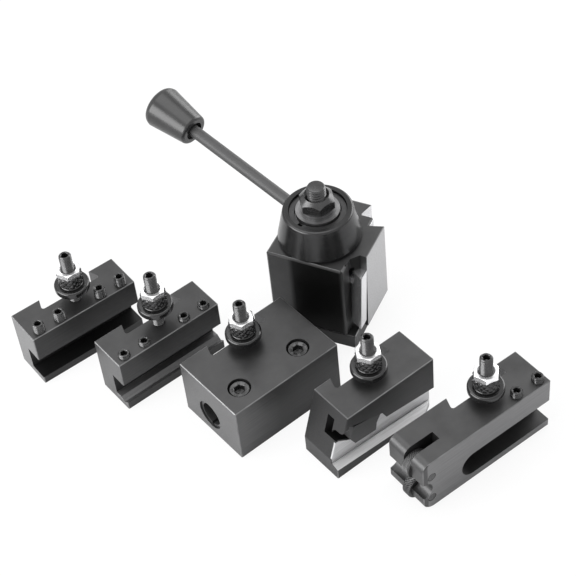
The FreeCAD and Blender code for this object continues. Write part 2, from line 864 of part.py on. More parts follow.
def slotted_holder(holder, bottom, top, depth, screw_length, screw_proud, groove):
    body = new_body(holder + "_holder_body")
    box_base(body, holder + "_length", holder + "_width", holder + "_height")
    cut_notch(body, holder)
    sketch = sketch_on(body, "XZ_Plane")
    past = holder + "_length + cut_past"
    outline(sketch, [("-cut_past", bottom), (past, bottom), (past, top), ("-cut_past", top)])
    pocket(body, sketch, depth)
    if groove:
        sketch = sketch_on(body, "YZ_Plane", holder + "_length")
        outline(sketch, [("vee_groove_front", bottom + " + cut_past"), ("vee_groove_front", bottom),
                         ("(vee_groove_front + vee_groove_back) / 2", bottom + " - vee_groove_depth"),
                         ("vee_groove_back", bottom), ("vee_groove_back", bottom + " + cut_past")])
        pocket(body, sketch)
    cut_stud_hole(body, holder)
    places = ["screw_first", "screw_second", "screw_third", "screw_fourth"]
    clamp_screws(body, holder, places, "screw_row_inset", screw_length, screw_proud,
                 "%s_height - %s + cut_past" % (holder, top))
    body.Placement = holder_place(holder)
    finished(body)
    height_stop(holder)


# The bar holder: a bored block with a split sleeve held by two drawn cotters

def bar_holder():
    holder = "bar"
    body = new_body("bar_holder_body")
    box_base(body, "bar_length", "bar_width", "bar_height")
    cut_notch(body, holder)
    sketch = sketch_on(body, "YZ_Plane", "bar_length")
    circle(sketch, ("bar_bore_middle", "bar_bore_height"), "bar_bore_radius")
    pocket(body, sketch)
    cut_stud_hole(body, holder)
    for place in ("bar_screw_left", "bar_screw_right"):
        sketch = sketch_on(body, "XY_Plane", "bar_height")
        circle(sketch, (place, "bar_screw_row"), "bar_sink_radius")
        pocket(body, sketch, "bar_sink_depth")
        sketch = sketch_on(body, "XY_Plane", "bar_height")
        circle(sketch, (place, "bar_screw_row"), "cap_shank_radius + running_gap")
        pocket(body, sketch)
        sketch = sketch_on(body, "XY_Plane", "cotter_hole_top")
        circle(sketch, (place, "bar_screw_row"), "cotter_radius")
        pocket(body, sketch)
    body.Placement = holder_place(holder)
    finished(body)
    height_stop(holder)
    for index, place in enumerate(("bar_screw_left", "bar_screw_right")):
        screw = cap_screw("bar_cap_screw_%d" % (index + 1), "cap_head_radius", "cap_head_height",
                          "cap_shank_radius", "bar_screw_length", "cap_socket_flats", "cap_socket_depth")
        seat(screw, holder, place, "bar_screw_row", "bar_height - bar_sink_depth + face_gap")
        bar_cotter("bar_cotter_%d" % (index + 1), place)
    bar_sleeve()


def bar_cotter(label, place):
    body = new_body(label)
    sketch = sketch_on(body, "XY_Plane", "cotter_bottom")
    circle(sketch, ("0", "0"), "cotter_radius")
    circle(sketch, ("0", "0"), "cap_shank_radius + running_gap")
    pad(body, sketch, "cotter_top - cotter_bottom")
    sketch = sketch_on(body, "YZ_Plane", "cotter_radius + cut_past")
    circle(sketch, ("bar_bore_middle - bar_screw_row", "bar_bore_height"), "bar_bore_radius")
    pocket(body, sketch)
    seat(body, "bar", place, "bar_screw_row", "0")
    return finished(body)


def bar_sleeve():
    body = new_body("bar_split_sleeve")
    outer = "bar_bore_radius - running_gap"
    sketch = sketch_on(body, "XY_Plane")
    circle(sketch, ("0", "0"), outer)
    circle(sketch, ("0", "0"), "bar_sleeve_bore")
    pad(body, sketch, "bar_length - 2 * bar_sleeve_inset")
    sketch = sketch_on(body, "XY_Plane", "bar_length")
    half = "bar_sleeve_slit / 2"
    past = outer + " + cut_past"
    outline(sketch, [("0", "-" + half), (past, "-" + half), (past, half), ("0", half)])
    pocket(body, sketch)
    along_bore = FreeCAD.Rotation(FreeCAD.Vector(0, 1, 0), 90)
    seat(body, "bar", "bar_sleeve_inset", "bar_bore_middle", "bar_bore_height", along_bore)
    return finished(body)


# The parting holder: an inclined blade seat with a drawn-in blade clamp

def under_jaw(across, drop="0"):
    return "jaw_upper_height + %s * (jaw_upper - (%s)) - %s" % (JAW_SLOPE, across, drop)


def parting_holder():
    holder = "parting"
    body = new_body("parting_holder_body")
    sketch = sketch_on(body, "XZ_Plane")
    outline(sketch, [("parting_foot_left", "0"), ("parting_length", "0"), ("parting_length", "parting_height"),
                     ("0", "parting_height"), ("parting_foot_left", "parting_foot_height")])
    pad(body, sketch, "parting_width", back=True)
    break_edges(body, "edge_break", every_edge)
    cut_notch(body, holder)
    past_left = "parting_foot_left - cut_past"
    past_right = "parting_length + cut_past"
    tooth_bottom = under_jaw("tooth_right", "tooth_height")
    tooth = [("tooth_right", under_jaw("tooth_right")), ("tooth_right", tooth_bottom), (past_left, tooth_bottom)]
    jaw = ("jaw_upper", "jaw_upper_height")
    cavity = [(past_left, "cavity_foot + cavity_ramp * (cavity_foot_left - (%s))" % past_left),
              ("cavity_foot_left", "cavity_foot"), ("cavity_foot_right", "cavity_foot - cavity_foot_fall"),
              ("cavity_side", "cavity_side_height"), jaw]
    sketch = sketch_on(body, "XZ_Plane")
    outline(sketch, [(past_left, "ledge_left"), (past_right, "ledge_right"), (past_right, "jaw_right_height"),
                     ("jaw_step", "jaw_step_height"), jaw] + tooth)
    pocket(body, sketch, "blade_wall")
    sketch = sketch_on(body, "XZ_Plane")
    outline(sketch, cavity + tooth)
    pocket(body, sketch, "tooth_depth")
    round_tooth(body, tooth_bottom)
    sketch = sketch_on(body, "XZ_Plane", "-tooth_depth")
    outline(sketch, cavity + [("jaw_left", "jaw_left_height"), (past_left, "jaw_left_height")])
    pocket(body, sketch, "cavity_depth - tooth_depth")
    ledge_slope(body, past_left, past_right)
    sketch = sketch_on(body, "XY_Plane", "parting_corner_top")
    outline(sketch, [("parting_length - parting_corner_out", "0"), (past_right, "0"),
                     (past_right, "parting_corner_back"), ("parting_length", "parting_corner_back")])
    pocket(body, sketch)
    cut_stud_hole(body, holder)
    sketch = sketch_on(body, "XZ_Plane")
    circle(sketch, ("clamp_screw_left", "clamp_screw_height"), "clamp_screw_radius + running_gap")
    pocket(body, sketch)
    floor = "parting_width - notch_depth"
    sketch = sketch_on(body, "XZ_Plane", "clamp_screw_sink - (%s)" % floor)
    circle(sketch, ("clamp_screw_left", "clamp_screw_height"), "clamp_screw_head_radius + clamp_screw_room")
    pocket(body, sketch)
    body.Placement = holder_place(holder)
    finished(body)
    height_stop(holder)
    blade_clamp()
    screw = cap_screw("parting_clamp_screw", "clamp_screw_head_radius", "clamp_screw_head",
                      "clamp_screw_radius", "clamp_screw_reach", "clamp_screw_socket",
                      "clamp_screw_socket_depth")
    seat(screw, holder, "clamp_screw_left", "%s - clamp_screw_sink + face_gap" % floor, "clamp_screw_height",
         ALONG_BACK)


def round_tooth(body, tooth_bottom):
    level = number(tooth_bottom)
    right = number("tooth_right")
    least_length = number("tooth_right - jaw_left")

    def wanted(edge):
        box = edge.BoundBox
        return abs(box.ZMax - level) < NEAR and box.XMax < right + NEAR and box.XLength > least_length
    round_edges(body, "tooth_round", wanted)


def ledge_slope(body, past_left, past_right):
    sections = []
    for offset, height in ((past_left, "ledge_left"), (past_right, "ledge_right")):
        sketch = sketch_on(body, "YZ_Plane", offset)
        relief = "blade_wall + ledge_relief"
        relief_top = height + " + ledge_relief_height"
        outline(sketch, [("-cut_past", relief_top), (relief, relief_top), (relief, height),
                         ("blade_wall", height), ("-cut_past", height + " - ledge_fall")])
        sections.append(sketch)
    feature = body.newObject("PartDesign::SubtractiveLoft", "Ledge")
    feature.Profile = sections[0]
    feature.Sections = [sections[1]]
    feature.Ruled = True
    doc.recompute()


def blade_clamp():
    body = new_body("parting_blade_clamp")
    sketch = sketch_on(body, "XZ_Plane", "-clamp_front")
    outline(sketch, [("clamp_left", "clamp_left_height"),
                     ("cavity_foot_left + clamp_gap", "cavity_foot + clamp_gap"),
                     ("cavity_foot_right - clamp_gap", "cavity_foot - cavity_foot_fall + clamp_gap"),
                     ("cavity_side - clamp_gap", "cavity_side_height"),
                     ("jaw_upper - 2 * clamp_gap", "jaw_upper_height - clamp_gap"),
                     ("clamp_crown", under_jaw("clamp_crown", "clamp_crown_drop")),
                     ("clamp_crown_left", under_jaw("clamp_crown_left", "clamp_crown_left_drop"))])
    pad(body, sketch, "cavity_depth - clamp_front - clamp_back_room", back=True)
    sketch = sketch_on(body, "YZ_Plane", "cavity_side")
    rebate_front = "clamp_front + clamp_lip"
    outline(sketch, [(rebate_front, "0"), ("blade_wall", "0"), ("blade_wall", "clamp_bite"),
                     (rebate_front, "clamp_bite")])
    pocket(body, sketch)
    sketch = sketch_on(body, "XZ_Plane", "-clamp_web")
    circle(sketch, ("clamp_screw_left", "clamp_screw_height"), "clamp_screw_radius + running_gap")
    pocket(body, sketch)
    seat(body, "parting", "0", "0", "0")
    return finished(body)


# The knurling holder: a forked nose with two wheels on cross pins, and a tool slot

def knurling_holder():
    holder = "knurling"
    body = new_body("knurling_holder_body")
    sketch = sketch_on(body, "XZ_Plane")
    outline(sketch, [("nose_left", "0"), ("knurling_length", "0"), ("knurling_length", "knurling_height"),
                     ("nose_left", "knurling_height")])
    pad(body, sketch, "knurling_width", back=True)
    for height, radius in (("0", "nose_bottom_round"), ("knurling_height", "nose_top_round")):
        round_edges(body, radius, edge_through(("nose_left", "0", height),
                                               ("nose_left", "knurling_width", height)))
    break_edges(body, "edge_break", every_edge)
    cut_notch(body, holder)
    sketch = sketch_on(body, "XY_Plane", "knurling_height")
    slot_back = "knurl_slot_front + knurl_slot_width"
    past_left = "nose_left - cut_past"
    outline(sketch, [(past_left, "knurl_slot_front"), ("knurl_slot_end", "knurl_slot_front"),
                     ("knurl_slot_end", slot_back), (past_left, slot_back)])
    pocket(body, sketch)
    sketch = sketch_on(body, "XZ_Plane")
    circle(sketch, ("nose_scallop_left", "nose_scallop_height"), "nose_scallop_radius")
    pocket(body, sketch)
    for height in ("wheel_low", "wheel_high"):
        sketch = sketch_on(body, "XZ_Plane")
        circle(sketch, ("wheel_left", height), "pin_radius")
        pocket(body, sketch, "pin_length")
    tool_slot(body)
    cut_stud_hole(body, holder)
    clamp_screws(body, holder, ["knurling_screw_left", "knurling_screw_right"], "knurling_screw_row",
                 "knurling_screw_length", "knurling_screw_proud", "knurling_height - tool_slot_top + cut_past")
    body.Placement = holder_place(holder)
    finished(body)
    height_stop(holder)
    for name, height in (("lower", "wheel_low"), ("upper", "wheel_high")):
        wheel = knurl_wheel("knurling_%s_wheel" % name)
        side_room = "(knurl_slot_width - wheel_width) / 2"
        seat(wheel, holder, "wheel_left", "knurl_slot_front + " + side_room, height, ALONG_BACK)
        pin = new_body("knurling_%s_pin" % name)
        revolve(pin, [("0", "0"), ("pin_radius - pin_chamfer", "0"), ("pin_radius", "pin_chamfer"),
                      ("pin_radius", "pin_length"), ("0", "pin_length")])
        seat(pin, holder, "wheel_left", "0", height, ALONG_BACK)
        finished(pin)


def tool_slot(body):
    radius = "(tool_slot_top - tool_slot_bottom) / 2"
    middle = "(tool_slot_top + tool_slot_bottom) / 2"
    sketch = sketch_on(body, "XZ_Plane")
    past = "knurling_length + cut_past"
    outline(sketch, [("tool_slot_left", "tool_slot_bottom"), (past, "tool_slot_bottom"),
                     (past, "tool_slot_top"), ("tool_slot_left", "tool_slot_top")])
    pocket(body, sketch, "tool_slot_depth")
    sketch = sketch_on(body, "XZ_Plane")
    circle(sketch, ("tool_slot_left", middle), radius)
    pocket(body, sketch, "tool_slot_depth")


def knurl_wheel(label):
    body = new_body(label)
    bore = "pin_radius + running_gap"
    edge = "wheel_radius - wheel_chamfer"
    revolve(body, [(bore, "0"), (edge, "0"), ("wheel_radius", "wheel_chamfer"),
                   ("wheel_radius", "wheel_width - wheel_chamfer"), (edge, "wheel_width"),
                   (bore, "wheel_width")])
    return finished(body)


nut_plate()
centre_stud()
post_block()
wedge("wedge_right", list)
wedge("wedge_back", swapped)
lift_nut()
hub_screw()
hub_cone()
hub_retaining_ring()
clamp_sleeve()
lever_rod()
lever_knob()
centre_nut = hex_nut("centre_nut", "post_nut_flats", "post_nut_height", "post_stud_radius + running_gap",
                     "post_nut_sink", "post_nut_crown", "post_nut_crown_lean")
centre_nut.Placement = FreeCAD.Placement(FreeCAD.Vector(0, 0, number("post_nut_bottom")),
                                         turned_about_z(number("post_turn + post_nut_turn")))
slotted_holder("turning", "turning_slot_bottom", "turning_slot_top", "turning_slot_depth",
               "turning_screw_length", "turning_screw_proud", False)
slotted_holder("vee", "vee_slot_bottom", "vee_slot_top", "vee_slot_depth",
               "vee_screw_length", "vee_screw_proud", True)
bar_holder()
parting_holder()
knurling_holder()

# Every object must have solved, and each piece must be one sound solid, before anything is written

doc.recompute()
for item in doc.Objects:
    if "Invalid" in item.State or "Error" in item.State:
        raise RuntimeError(item.Label + " did not solve: " + str(item.State))
for piece in PARTS:
    if piece.Shape.isNull() or not piece.Shape.isValid() or len(piece.Shape.Solids) != 1:
        raise RuntimeError(piece.Label + " is not one sound solid")
os.makedirs("parts", exist_ok=True)
for piece in PARTS:
    piece.Shape.exportStep("parts/%s.step" % piece.Label)
    print("%-28s %10.1f mm3" % (piece.Label, piece.Shape.Volume))
print(len(PARTS), "pieces")
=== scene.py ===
import math

import bmesh
import bpy
from mathutils import Matrix, Vector


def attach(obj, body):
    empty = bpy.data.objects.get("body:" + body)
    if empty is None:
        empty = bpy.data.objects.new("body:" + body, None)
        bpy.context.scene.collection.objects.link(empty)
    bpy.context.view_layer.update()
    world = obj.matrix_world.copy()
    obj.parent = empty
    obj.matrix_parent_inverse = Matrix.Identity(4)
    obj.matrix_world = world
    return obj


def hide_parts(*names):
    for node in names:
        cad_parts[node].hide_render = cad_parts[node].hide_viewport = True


# Wedge-type tool post for a small lathe, with its five dovetail holders, in black oxide steel
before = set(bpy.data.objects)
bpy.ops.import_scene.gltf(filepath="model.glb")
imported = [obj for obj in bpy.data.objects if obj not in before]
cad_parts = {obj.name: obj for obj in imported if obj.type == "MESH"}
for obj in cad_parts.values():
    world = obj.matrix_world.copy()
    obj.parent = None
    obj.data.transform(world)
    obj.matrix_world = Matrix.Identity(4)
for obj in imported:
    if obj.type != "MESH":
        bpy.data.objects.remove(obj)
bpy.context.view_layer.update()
mm = 0.001  # sizes below are in millimetres, Blender's are in metres
print("frame loaded,", len(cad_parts), "nodes")


# Node maths: a Field is one socket, and sums on Fields add Math nodes

class Field:
    def __init__(self, nodes, socket):
        self.nodes = nodes
        self.socket = socket

    def joined(self, operation, other, swap=False):
        pair = (other, self) if swap else (self, other)
        return self.nodes.math(operation, *pair)

    def __add__(self, other):
        return self.joined("ADD", other)

    def __radd__(self, other):
        return self.joined("ADD", other)

    def __sub__(self, other):
        return self.joined("SUBTRACT", other)

    def __rsub__(self, other):
        return self.joined("SUBTRACT", other, swap=True)

    def __mul__(self, other):
        return self.joined("MULTIPLY", other)

    def __rmul__(self, other):
        return self.joined("MULTIPLY", other)

    def __truediv__(self, other):
        return self.joined("DIVIDE", other)

    def __pow__(self, other):
        return self.joined("POWER", other)


class Nodes:
    def __init__(self, tree):
        self.tree = tree

    def node(self, kind, settings=None, sockets=None):
        made = self.tree.nodes.new(kind)
        for key, value in (settings or {}).items():
            setattr(made, key, value)
        for key, value in (sockets or {}).items():
            self.join(value, made.inputs[key])
        return made

    def join(self, value, socket):
        if isinstance(value, Field):
            self.tree.links.new(value.socket, socket)
        else:
            socket.default_value = value

    def field(self, made, output=0):
        return Field(self, made.outputs[output])

    def math(self, operation, *values):
        return self.field(self.node("ShaderNodeMath", {"operation": operation}, dict(enumerate(values))))

    def clamp(self, value, low=0.0, high=1.0):
        return self.field(self.node("ShaderNodeClamp", None, {"Value": value, "Min": low, "Max": high}))

    def parts(self, vector):
        made = self.node("ShaderNodeSeparateXYZ", None, {"Vector": vector})
        return [self.field(made, axis) for axis in range(3)]

    def combined(self, x, y, z):
        return self.field(self.node("ShaderNodeCombineXYZ", None, {"X": x, "Y": y, "Z": z}))


plainWhite = (1.0, 1.0, 1.0, 1.0)
bumpDistance = 0.0001


def grey(level):  # a trace of blue, as steel has
    return (level, level, level * 1.01, 1.0)


class Shader(Nodes):
    def __init__(self, name):
        self.material = bpy.data.materials.new(name)
        self.material.use_nodes = True
        super().__init__(self.material.node_tree)
        self.surface = self.tree.nodes["Principled BSDF"]

    def mixColour(self, factor, first, second):
        made = self.node("ShaderNodeMix", {"data_type": "RGBA"}, {0: factor, 6: first, 7: second})
        return self.field(made, 2)

    def mixGrey(self, factor, dark, light):
        return self.mixColour(factor, grey(dark), grey(light))

    def local(self, place):  # millimetres along a piece's own edges or axis
        back = place.inverted()
        coordinates = self.node("ShaderNodeTexCoord")
        made = self.node("ShaderNodeMapping", None, {
            "Vector": self.field(coordinates, "Object"), "Scale": (1 / mm, 1 / mm, 1 / mm),
            "Rotation": back.to_euler(), "Location": back.to_translation() / mm})
        return self.field(made)

    def stretched(self, vector, scale):
        return self.field(self.node("ShaderNodeMapping", None, {"Vector": vector, "Scale": scale}))

    def noise(self, vector, scale, detail=3.0, roughness=0.5):
        return self.field(self.node("ShaderNodeTexNoise", None, {
            "Vector": vector, "Scale": scale, "Detail": detail, "Roughness": roughness}))

    def within(self, value, low, high, soft):  # 1 between low and high, fading to 0 at both
        return self.clamp((value - low) / soft) * self.clamp((high - value) / soft)

    def ranged(self, value, low, high):  # a value of 0 to 1 brought to low to high
        return value * (high - low) + low

    def contrast(self, value, gain, cut):
        return self.clamp(value * gain - cut)

    def finish(self, colour, roughness, height, strength, metal=0.0):
        bump = self.node("ShaderNodeBump", None, {
            "Strength": strength, "Distance": bumpDistance, "Height": height})
        self.join(colour, self.surface.inputs["Base Color"])
        self.join(roughness, self.surface.inputs["Roughness"])
        self.join(metal, self.surface.inputs["Metallic"])
        self.join(self.field(bump), self.surface.inputs["Normal"])
        return self.material


# Camera: solved from the straight edges of the six blocks

cameraView = {"lens": 103.09, "sensor": 36.0, "clipStart": 0.01, "distance": 0.8652, "elevation": 46.88,
              "roll": 6.75, "heading": 56.5, "target": (-0.00556, 0.02565, 0.0)}


def addCamera():
    lift = math.radians(cameraView["elevation"])
    heading = math.radians(cameraView["heading"])
    roll = math.radians(cameraView["roll"])
    forward = Vector((math.cos(heading) * math.cos(lift), math.sin(heading) * math.cos(lift),
                      -math.sin(lift)))
    level = Vector((math.sin(heading), -math.cos(heading), 0.0))
    upright = level.cross(forward)
    right = level * math.cos(roll) - upright * math.sin(roll)
    up = level * math.sin(roll) + upright * math.cos(roll)
    eye = Vector(cameraView["target"]) - forward * cameraView["distance"]
    data = bpy.data.cameras.new("camera")
    data.lens = cameraView["lens"]
    data.sensor_width = cameraView["sensor"]
    data.clip_start = cameraView["clipStart"]
    camera = bpy.data.objects.new("camera", data)
    turn = Matrix((right, up, -forward)).transposed().to_4x4()
    camera.matrix_world = Matrix.Translation(eye) @ turn
    bpy.context.scene.collection.objects.link(camera)
    bpy.context.scene.camera = camera


addCamera()


# Studio: a pale floor, and soft panels to the left, right and above

worldLight = 0.5
panelAim = (-0.03, -0.01, 0.03)
panels = {
    "leftPanel": {"at": (-0.95, 0.15, 0.4), "size": (1.0, 0.7), "power": 14.0},
    "rightPanel": {"at": (0.8, 0.1, 0.35), "size": (0.8, 0.6), "power": 7.0},
    "topPanel": {"at": (-0.1, 0.3, 1.3), "size": (1.2, 1.2), "power": 9.0},
}
floorLook = {"size": 6.0, "colour": 0.86, "roughness": 0.9, "white": 0.88,
             "grainScale": 0.02, "grainTone": 0.02, "grainBump": 0.02,
             "mirroredFront": 0.12, "mirroredBack": 0.8, "mirroredFrom": -60.0, "mirroredRise": 0.004}


def addPanel(name, values):
    data = bpy.data.lights.new(name, "AREA")
    data.shape = "RECTANGLE"
    data.size, data.size_y = values["size"]
    data.energy = values["power"]
    panel = bpy.data.objects.new(name, data)
    panel.location = values["at"]
    aim = Vector(panelAim) - Vector(values["at"])
    panel.rotation_euler = aim.to_track_quat("-Z", "Y").to_euler()
    bpy.context.scene.collection.objects.link(panel)


def raysOf(nodes, *kinds):
    rays = nodes.node("ShaderNodeLightPath")
    return nodes.clamp(sum(nodes.field(rays, "Is %s Ray" % kind) for kind in kinds))


def paleFloor():  # white to the camera, and what steel mirrors of it darkens to the front
    look = floorLook
    shader = Shader("paleFloor")
    point = shader.local(Matrix())
    grain = shader.noise(point, look["grainScale"])
    colour = shader.mixGrey(grain, look["colour"], look["colour"] + look["grainTone"])
    shader.finish(colour, look["roughness"], grain, look["grainBump"])
    back = shader.parts(point)[1]
    mirrored = shader.clamp((back - look["mirroredFrom"]) * look["mirroredRise"],
                            look["mirroredFront"], look["mirroredBack"])
    seen = raysOf(shader, "Camera", "Transmission") * look["white"] + raysOf(shader, "Glossy") * mirrored
    white = shader.node("ShaderNodeEmission", None, {"Color": plainWhite, "Strength": 1.0})
    mixed = shader.node("ShaderNodeMixShader", None, {
        0: seen, 1: shader.field(shader.surface), 2: shader.field(white)})
    shader.join(shader.field(mixed), shader.tree.nodes["Material Output"].inputs["Surface"])
    return shader.material


def addFloor():
    mesh = bpy.data.meshes.new("floor")
    half = floorLook["size"] / 2
    corners = [(-half, -half, 0), (half, -half, 0), (half, half, 0), (-half, half, 0)]
    mesh.from_pydata(corners, [], [(0, 1, 2, 3)])
    mesh.materials.append(paleFloor())
    floor = bpy.data.objects.new("floor", mesh)
    bpy.context.scene.collection.objects.link(floor)


def addWorld():
    world = bpy.data.worlds.new("studioWorld")
    world.use_nodes = True
    nodes = Nodes(world.node_tree)
    seen = raysOf(nodes, "Camera", "Glossy", "Transmission")
    background = world.node_tree.nodes["Background"]
    background.inputs["Color"].default_value = plainWhite
    nodes.join(worldLight + seen * (1 - worldLight), background.inputs["Strength"])
    bpy.context.scene.world = world
    bpy.context.scene.view_settings.view_transform = "Standard"


for panelName, panelValues in panels.items():
    addPanel(panelName, panelValues)
addFloor()
addWorld()
print("studio ready")


# Where the holders stand: left front corner, turn and size, how far the body reaches left of that corner,
# the dovetail notch's middle, the thumb nut's height and the lock nut's turn

holders = {
    "turning": {"corner": (-137.04, 57.64), "turn": -1.3, "size": (60.0, 21.7, 33.0), "overhang": 0.0,
                "middle": 31.3, "nutBottom": 40.4, "lockTurn": -3.0},
    "vee": {"corner": (-114.85, 14.89), "turn": 0.3, "size": (60.0, 21.7, 33.0), "overhang": 0.0,
            "middle": 31.3, "nutBottom": 43.0, "lockTurn": -2.0},
    "bar": {"corner": (-91.13, -46.74), "turn": 1.3, "size": (63.1, 43.3, 33.0), "overhang": 0.0,
            "middle": 31.55, "nutBottom": 37.5, "lockTurn": -6.0},
    "parting": {"corner": (-56.1, -87.0), "turn": 0.6, "size": (53.1, 24.2, 38.3), "overhang": 8.5,
                "middle": 24.6, "nutBottom": 42.0, "lockTurn": 0.0},
    "knurling": {"corner": (-44.26, -128.13), "turn": -1.0, "size": (75.5, 24.1, 33.0), "overhang": 2.7,
                 "middle": 46.9, "nutBottom": 37.0, "lockTurn": -12.0},
}
studInset = 11.0  # from the notched side to the middle of a height stud
barBore = {"back": 22.9, "up": 12.3}
bladeClamp = {"size": (20.0, 11.5, 31.0)}
nutPlate = {"size": (48.0, 40.6, 9.0), "turn": 2.0}  # its turn is beyond the post's
postBlock = {"turn": -62.87, "low": (-20.35, -20.35, 9.0), "high": (27.65, 27.65, 55.2)}
lever = {"height": 61.8, "lift": 10.0, "heading": 98.6}


def turnedBy(degrees, axis="Z"):
    return Matrix.Rotation(math.radians(degrees), 4, axis)


def movedBy(x, y, z):
    return Matrix.Translation(Vector((x, y, z)) * mm)


def holderPlace(name):
    x, y = holders[name]["corner"]
    return movedBy(x, y, 0) @ turnedBy(holders[name]["turn"])


def onHolder(name, across, back, up, turn=Matrix()):
    return holderPlace(name) @ movedBy(across, back, up) @ turn


def overStud(name, up, degrees=0.0):
    back = holders[name]["size"][1] - studInset
    return onHolder(name, holders[name]["middle"], back, up, turnedBy(degrees))


def platePlace():
    length, width, height = nutPlate["size"]
    return turnedBy(postBlock["turn"] + nutPlate["turn"]) @ movedBy(-length / 2, -width / 2, 0)


postPlace = turnedBy(postBlock["turn"])
leverPlace = (movedBy(0, 0, lever["height"]) @ turnedBy(lever["heading"])
              @ turnedBy(90 - lever["lift"], "Y"))


# Blocks: black oxide with rubbed edges, and patches of painted light and shade on faces the lamps reach or
# that lie in shade, besides ground faces that have a tone of their own
# Clouds, grain, lines and ripple are a noise's scale, detail and roughness

oxide = {"dark": 0.045, "light": 0.07, "worn": 0.2, "metal": 0.75, "smooth": 0.3, "rough": 0.42,
         "clouds": (0.07, 4.0, 0.6), "cloudContrast": (1.6, 0.3), "grain": (2.5, 2.0, 0.6),
         "grainShine": 0.04, "grainBump": 0.5, "millLines": (1.0, 2.0, 0.5),
         "millStretch": (0.04, 1.3, 1.3), "toneSpread": 0.3, "rubbedWidth": 0.5, "rubbedFade": 6.0,
         "rubbedContrast": (2.2, 0.35), "bump": 0.12}
faceDepth = 0.05  # how deep the tone of a flat face reaches
belowTop = 0.1  # the painted light and shade of a holder's front and left end, and the ground notch's tone, stop this far under its top
notch = {"halfWidth": 17.5, "depth": 7.1, "tone": 0.12}


def patch(lowest, highest, tone, soft=(faceDepth, faceDepth, faceDepth)):  # box between two corners
    return {"low": lowest, "high": highest, "tone": tone, "soft": soft}


# Painted light and shade on the post: the left face, front face, front top edge and rail grooves are
# darkened as painted shade; the outer rail faces, the face beside the right rail and the ground back rail
# flank are lightened as painted highlight
postPaintedLight = {
    "leftFace": patch((-21.0, -21.0, 9.0), (-20.0, 21.0, 55.1), 0.03),
    "frontTopEdge": patch((-21.0, -21.0, 54.0), (21.0, -19.5, 55.2), 0.015),
    "frontFace": patch((-9.0, -21.0, 9.0), (21.0, -19.9, 54.9), 0.003, (3.0, faceDepth, faceDepth)),
    "rightRailGroove": patch((19.9, -10.7, 9.0), (24.2, 10.7, 55.1), 0.008),
    "backRailGroove": patch((-10.7, 19.9, 9.0), (10.7, 24.2, 55.1), 0.008),
    "rightRailFace": patch((27.6, -60.0, 0.0), (28.0, 60.0, 55.1), 0.42),
    "backRailFace": patch((-60.0, 27.6, 0.0), (60.0, 28.0, 55.1), 0.42),
    "besideRightRail": patch((20.2, 13.6, 0.0), (20.5, 20.5, 55.1), 0.6),
    "backRailFlank": patch((13.5, 20.4, 0.0), (15.9, 27.7, 55.1), 0.7),
}
# Per holder: the left end and front tones are painted light and shade, lighter where the left lamp falls;
# the turning slot floor is painted shade, the vee slot floor and the bar's front left are painted
# highlight; the parting blade ledge is ground steel's own tone
holderLightAndGroundTones = {
    "turning": {"leftEnd": 0.17, "front": 0.035, "lightAndGroundPatches": {
        "slotFloor": patch((-1.0, 0.2, 4.0), (61.0, 10.4, 4.6), 0.02)}},
    "vee": {"leftEnd": 0.085, "front": 0.045, "lightAndGroundPatches": {
        "slotFloor": patch((-1.0, 0.2, 3.0), (61.0, 9.6, 5.35), 0.16)}},
    "bar": {"leftEnd": 0.115, "front": 0.045, "lightAndGroundPatches": {
        "frontLeft": patch((-30.0, -1.0, -1.0), (26.0, 0.05, 33.1), 0.085, (22.0, faceDepth, faceDepth))}},
    "parting": {"leftEnd": 0.035, "front": 0.04, "lightAndGroundPatches": {
        "bladeLedge": patch((-8.3, 0.08, 0.8), (53.9, 4.95, 21.0), 0.55)}},
    "knurling": {"leftEnd": 0.06, "front": 0.165, "lightAndGroundPatches": {}},
}


def blockOxide(name, place, high, low=(0.0, 0.0, 0.0), lightAndGroundPatches=()):  # low and high are the block's corners
    shader = Shader(name + "Oxide")
    point = shader.local(place)
    along = shader.parts(point)
    cloud = shader.noise(point, *oxide["clouds"])
    grain = shader.noise(point, *oxide["grain"])
    millLines = shader.noise(shader.stretched(point, oxide["millStretch"]), *oxide["millLines"])
    nearFace = []
    for value, first, last in zip(along, low, high):
        fromMiddle = shader.math("ABSOLUTE", value - (first + last) / 2)
        fromFace = shader.math("ABSOLUTE", fromMiddle - (last - first) / 2)
        nearFace.append(shader.clamp((oxide["rubbedWidth"] - fromFace) * oxide["rubbedFade"]))
    nearEdge = nearFace[0] * nearFace[1] + nearFace[1] * nearFace[2] + nearFace[2] * nearFace[0]
    rubbed = shader.clamp(nearEdge) * shader.contrast(cloud, *oxide["rubbedContrast"])
    clouded = shader.contrast(cloud, *oxide["cloudContrast"])
    colour = shader.mixGrey(clouded, oxide["dark"], oxide["light"])
    # each box lays its tone over the oxide: painted light and shade on faces of the post and holders, or a
    # ground face's own tone
    for values in lightAndGroundPatches:
        box = 1.0
        for value, start, end, soft in zip(along, values["low"], values["high"], values["soft"]):
            box = shader.within(value, start, end, soft) * box
        darker = values["tone"] * (1 - oxide["toneSpread"])
        lighter = values["tone"] * (1 + oxide["toneSpread"])
        colour = shader.mixColour(box, colour, shader.mixGrey(millLines, darker, lighter))
    colour = shader.mixColour(rubbed, colour, grey(oxide["worn"]))
    roughness = shader.ranged(cloud, oxide["smooth"], oxide["rough"]) + grain * oxide["grainShine"]
    height = grain * oxide["grainBump"] + millLines
    return shader.finish(colour, roughness, height, oxide["bump"], oxide["metal"])


def holderOxide(name):
    tones = holderLightAndGroundTones[name]
    middle, overhang = holders[name]["middle"], holders[name]["overhang"]
    length, width, height = holders[name]["size"]
    past = 1.0  # beyond the body's sides
    top = height - belowTop
    faces = [
        patch((middle - notch["halfWidth"], width - notch["depth"], -past),
              (middle + notch["halfWidth"], width + past, top), notch["tone"]),
        # the front and the left end carry painted shade and painted light
        patch((-overhang - past, -past, -past), (length + past, faceDepth, top), tones["front"]),
        patch((-overhang - past, -past, -past), (faceDepth, width + past, top), tones["leftEnd"]),
    ]
    return blockOxide(name, holderPlace(name), (length, width, height), (-overhang, 0.0, 0.0),
                      faces + list(tones["lightAndGroundPatches"].values()))
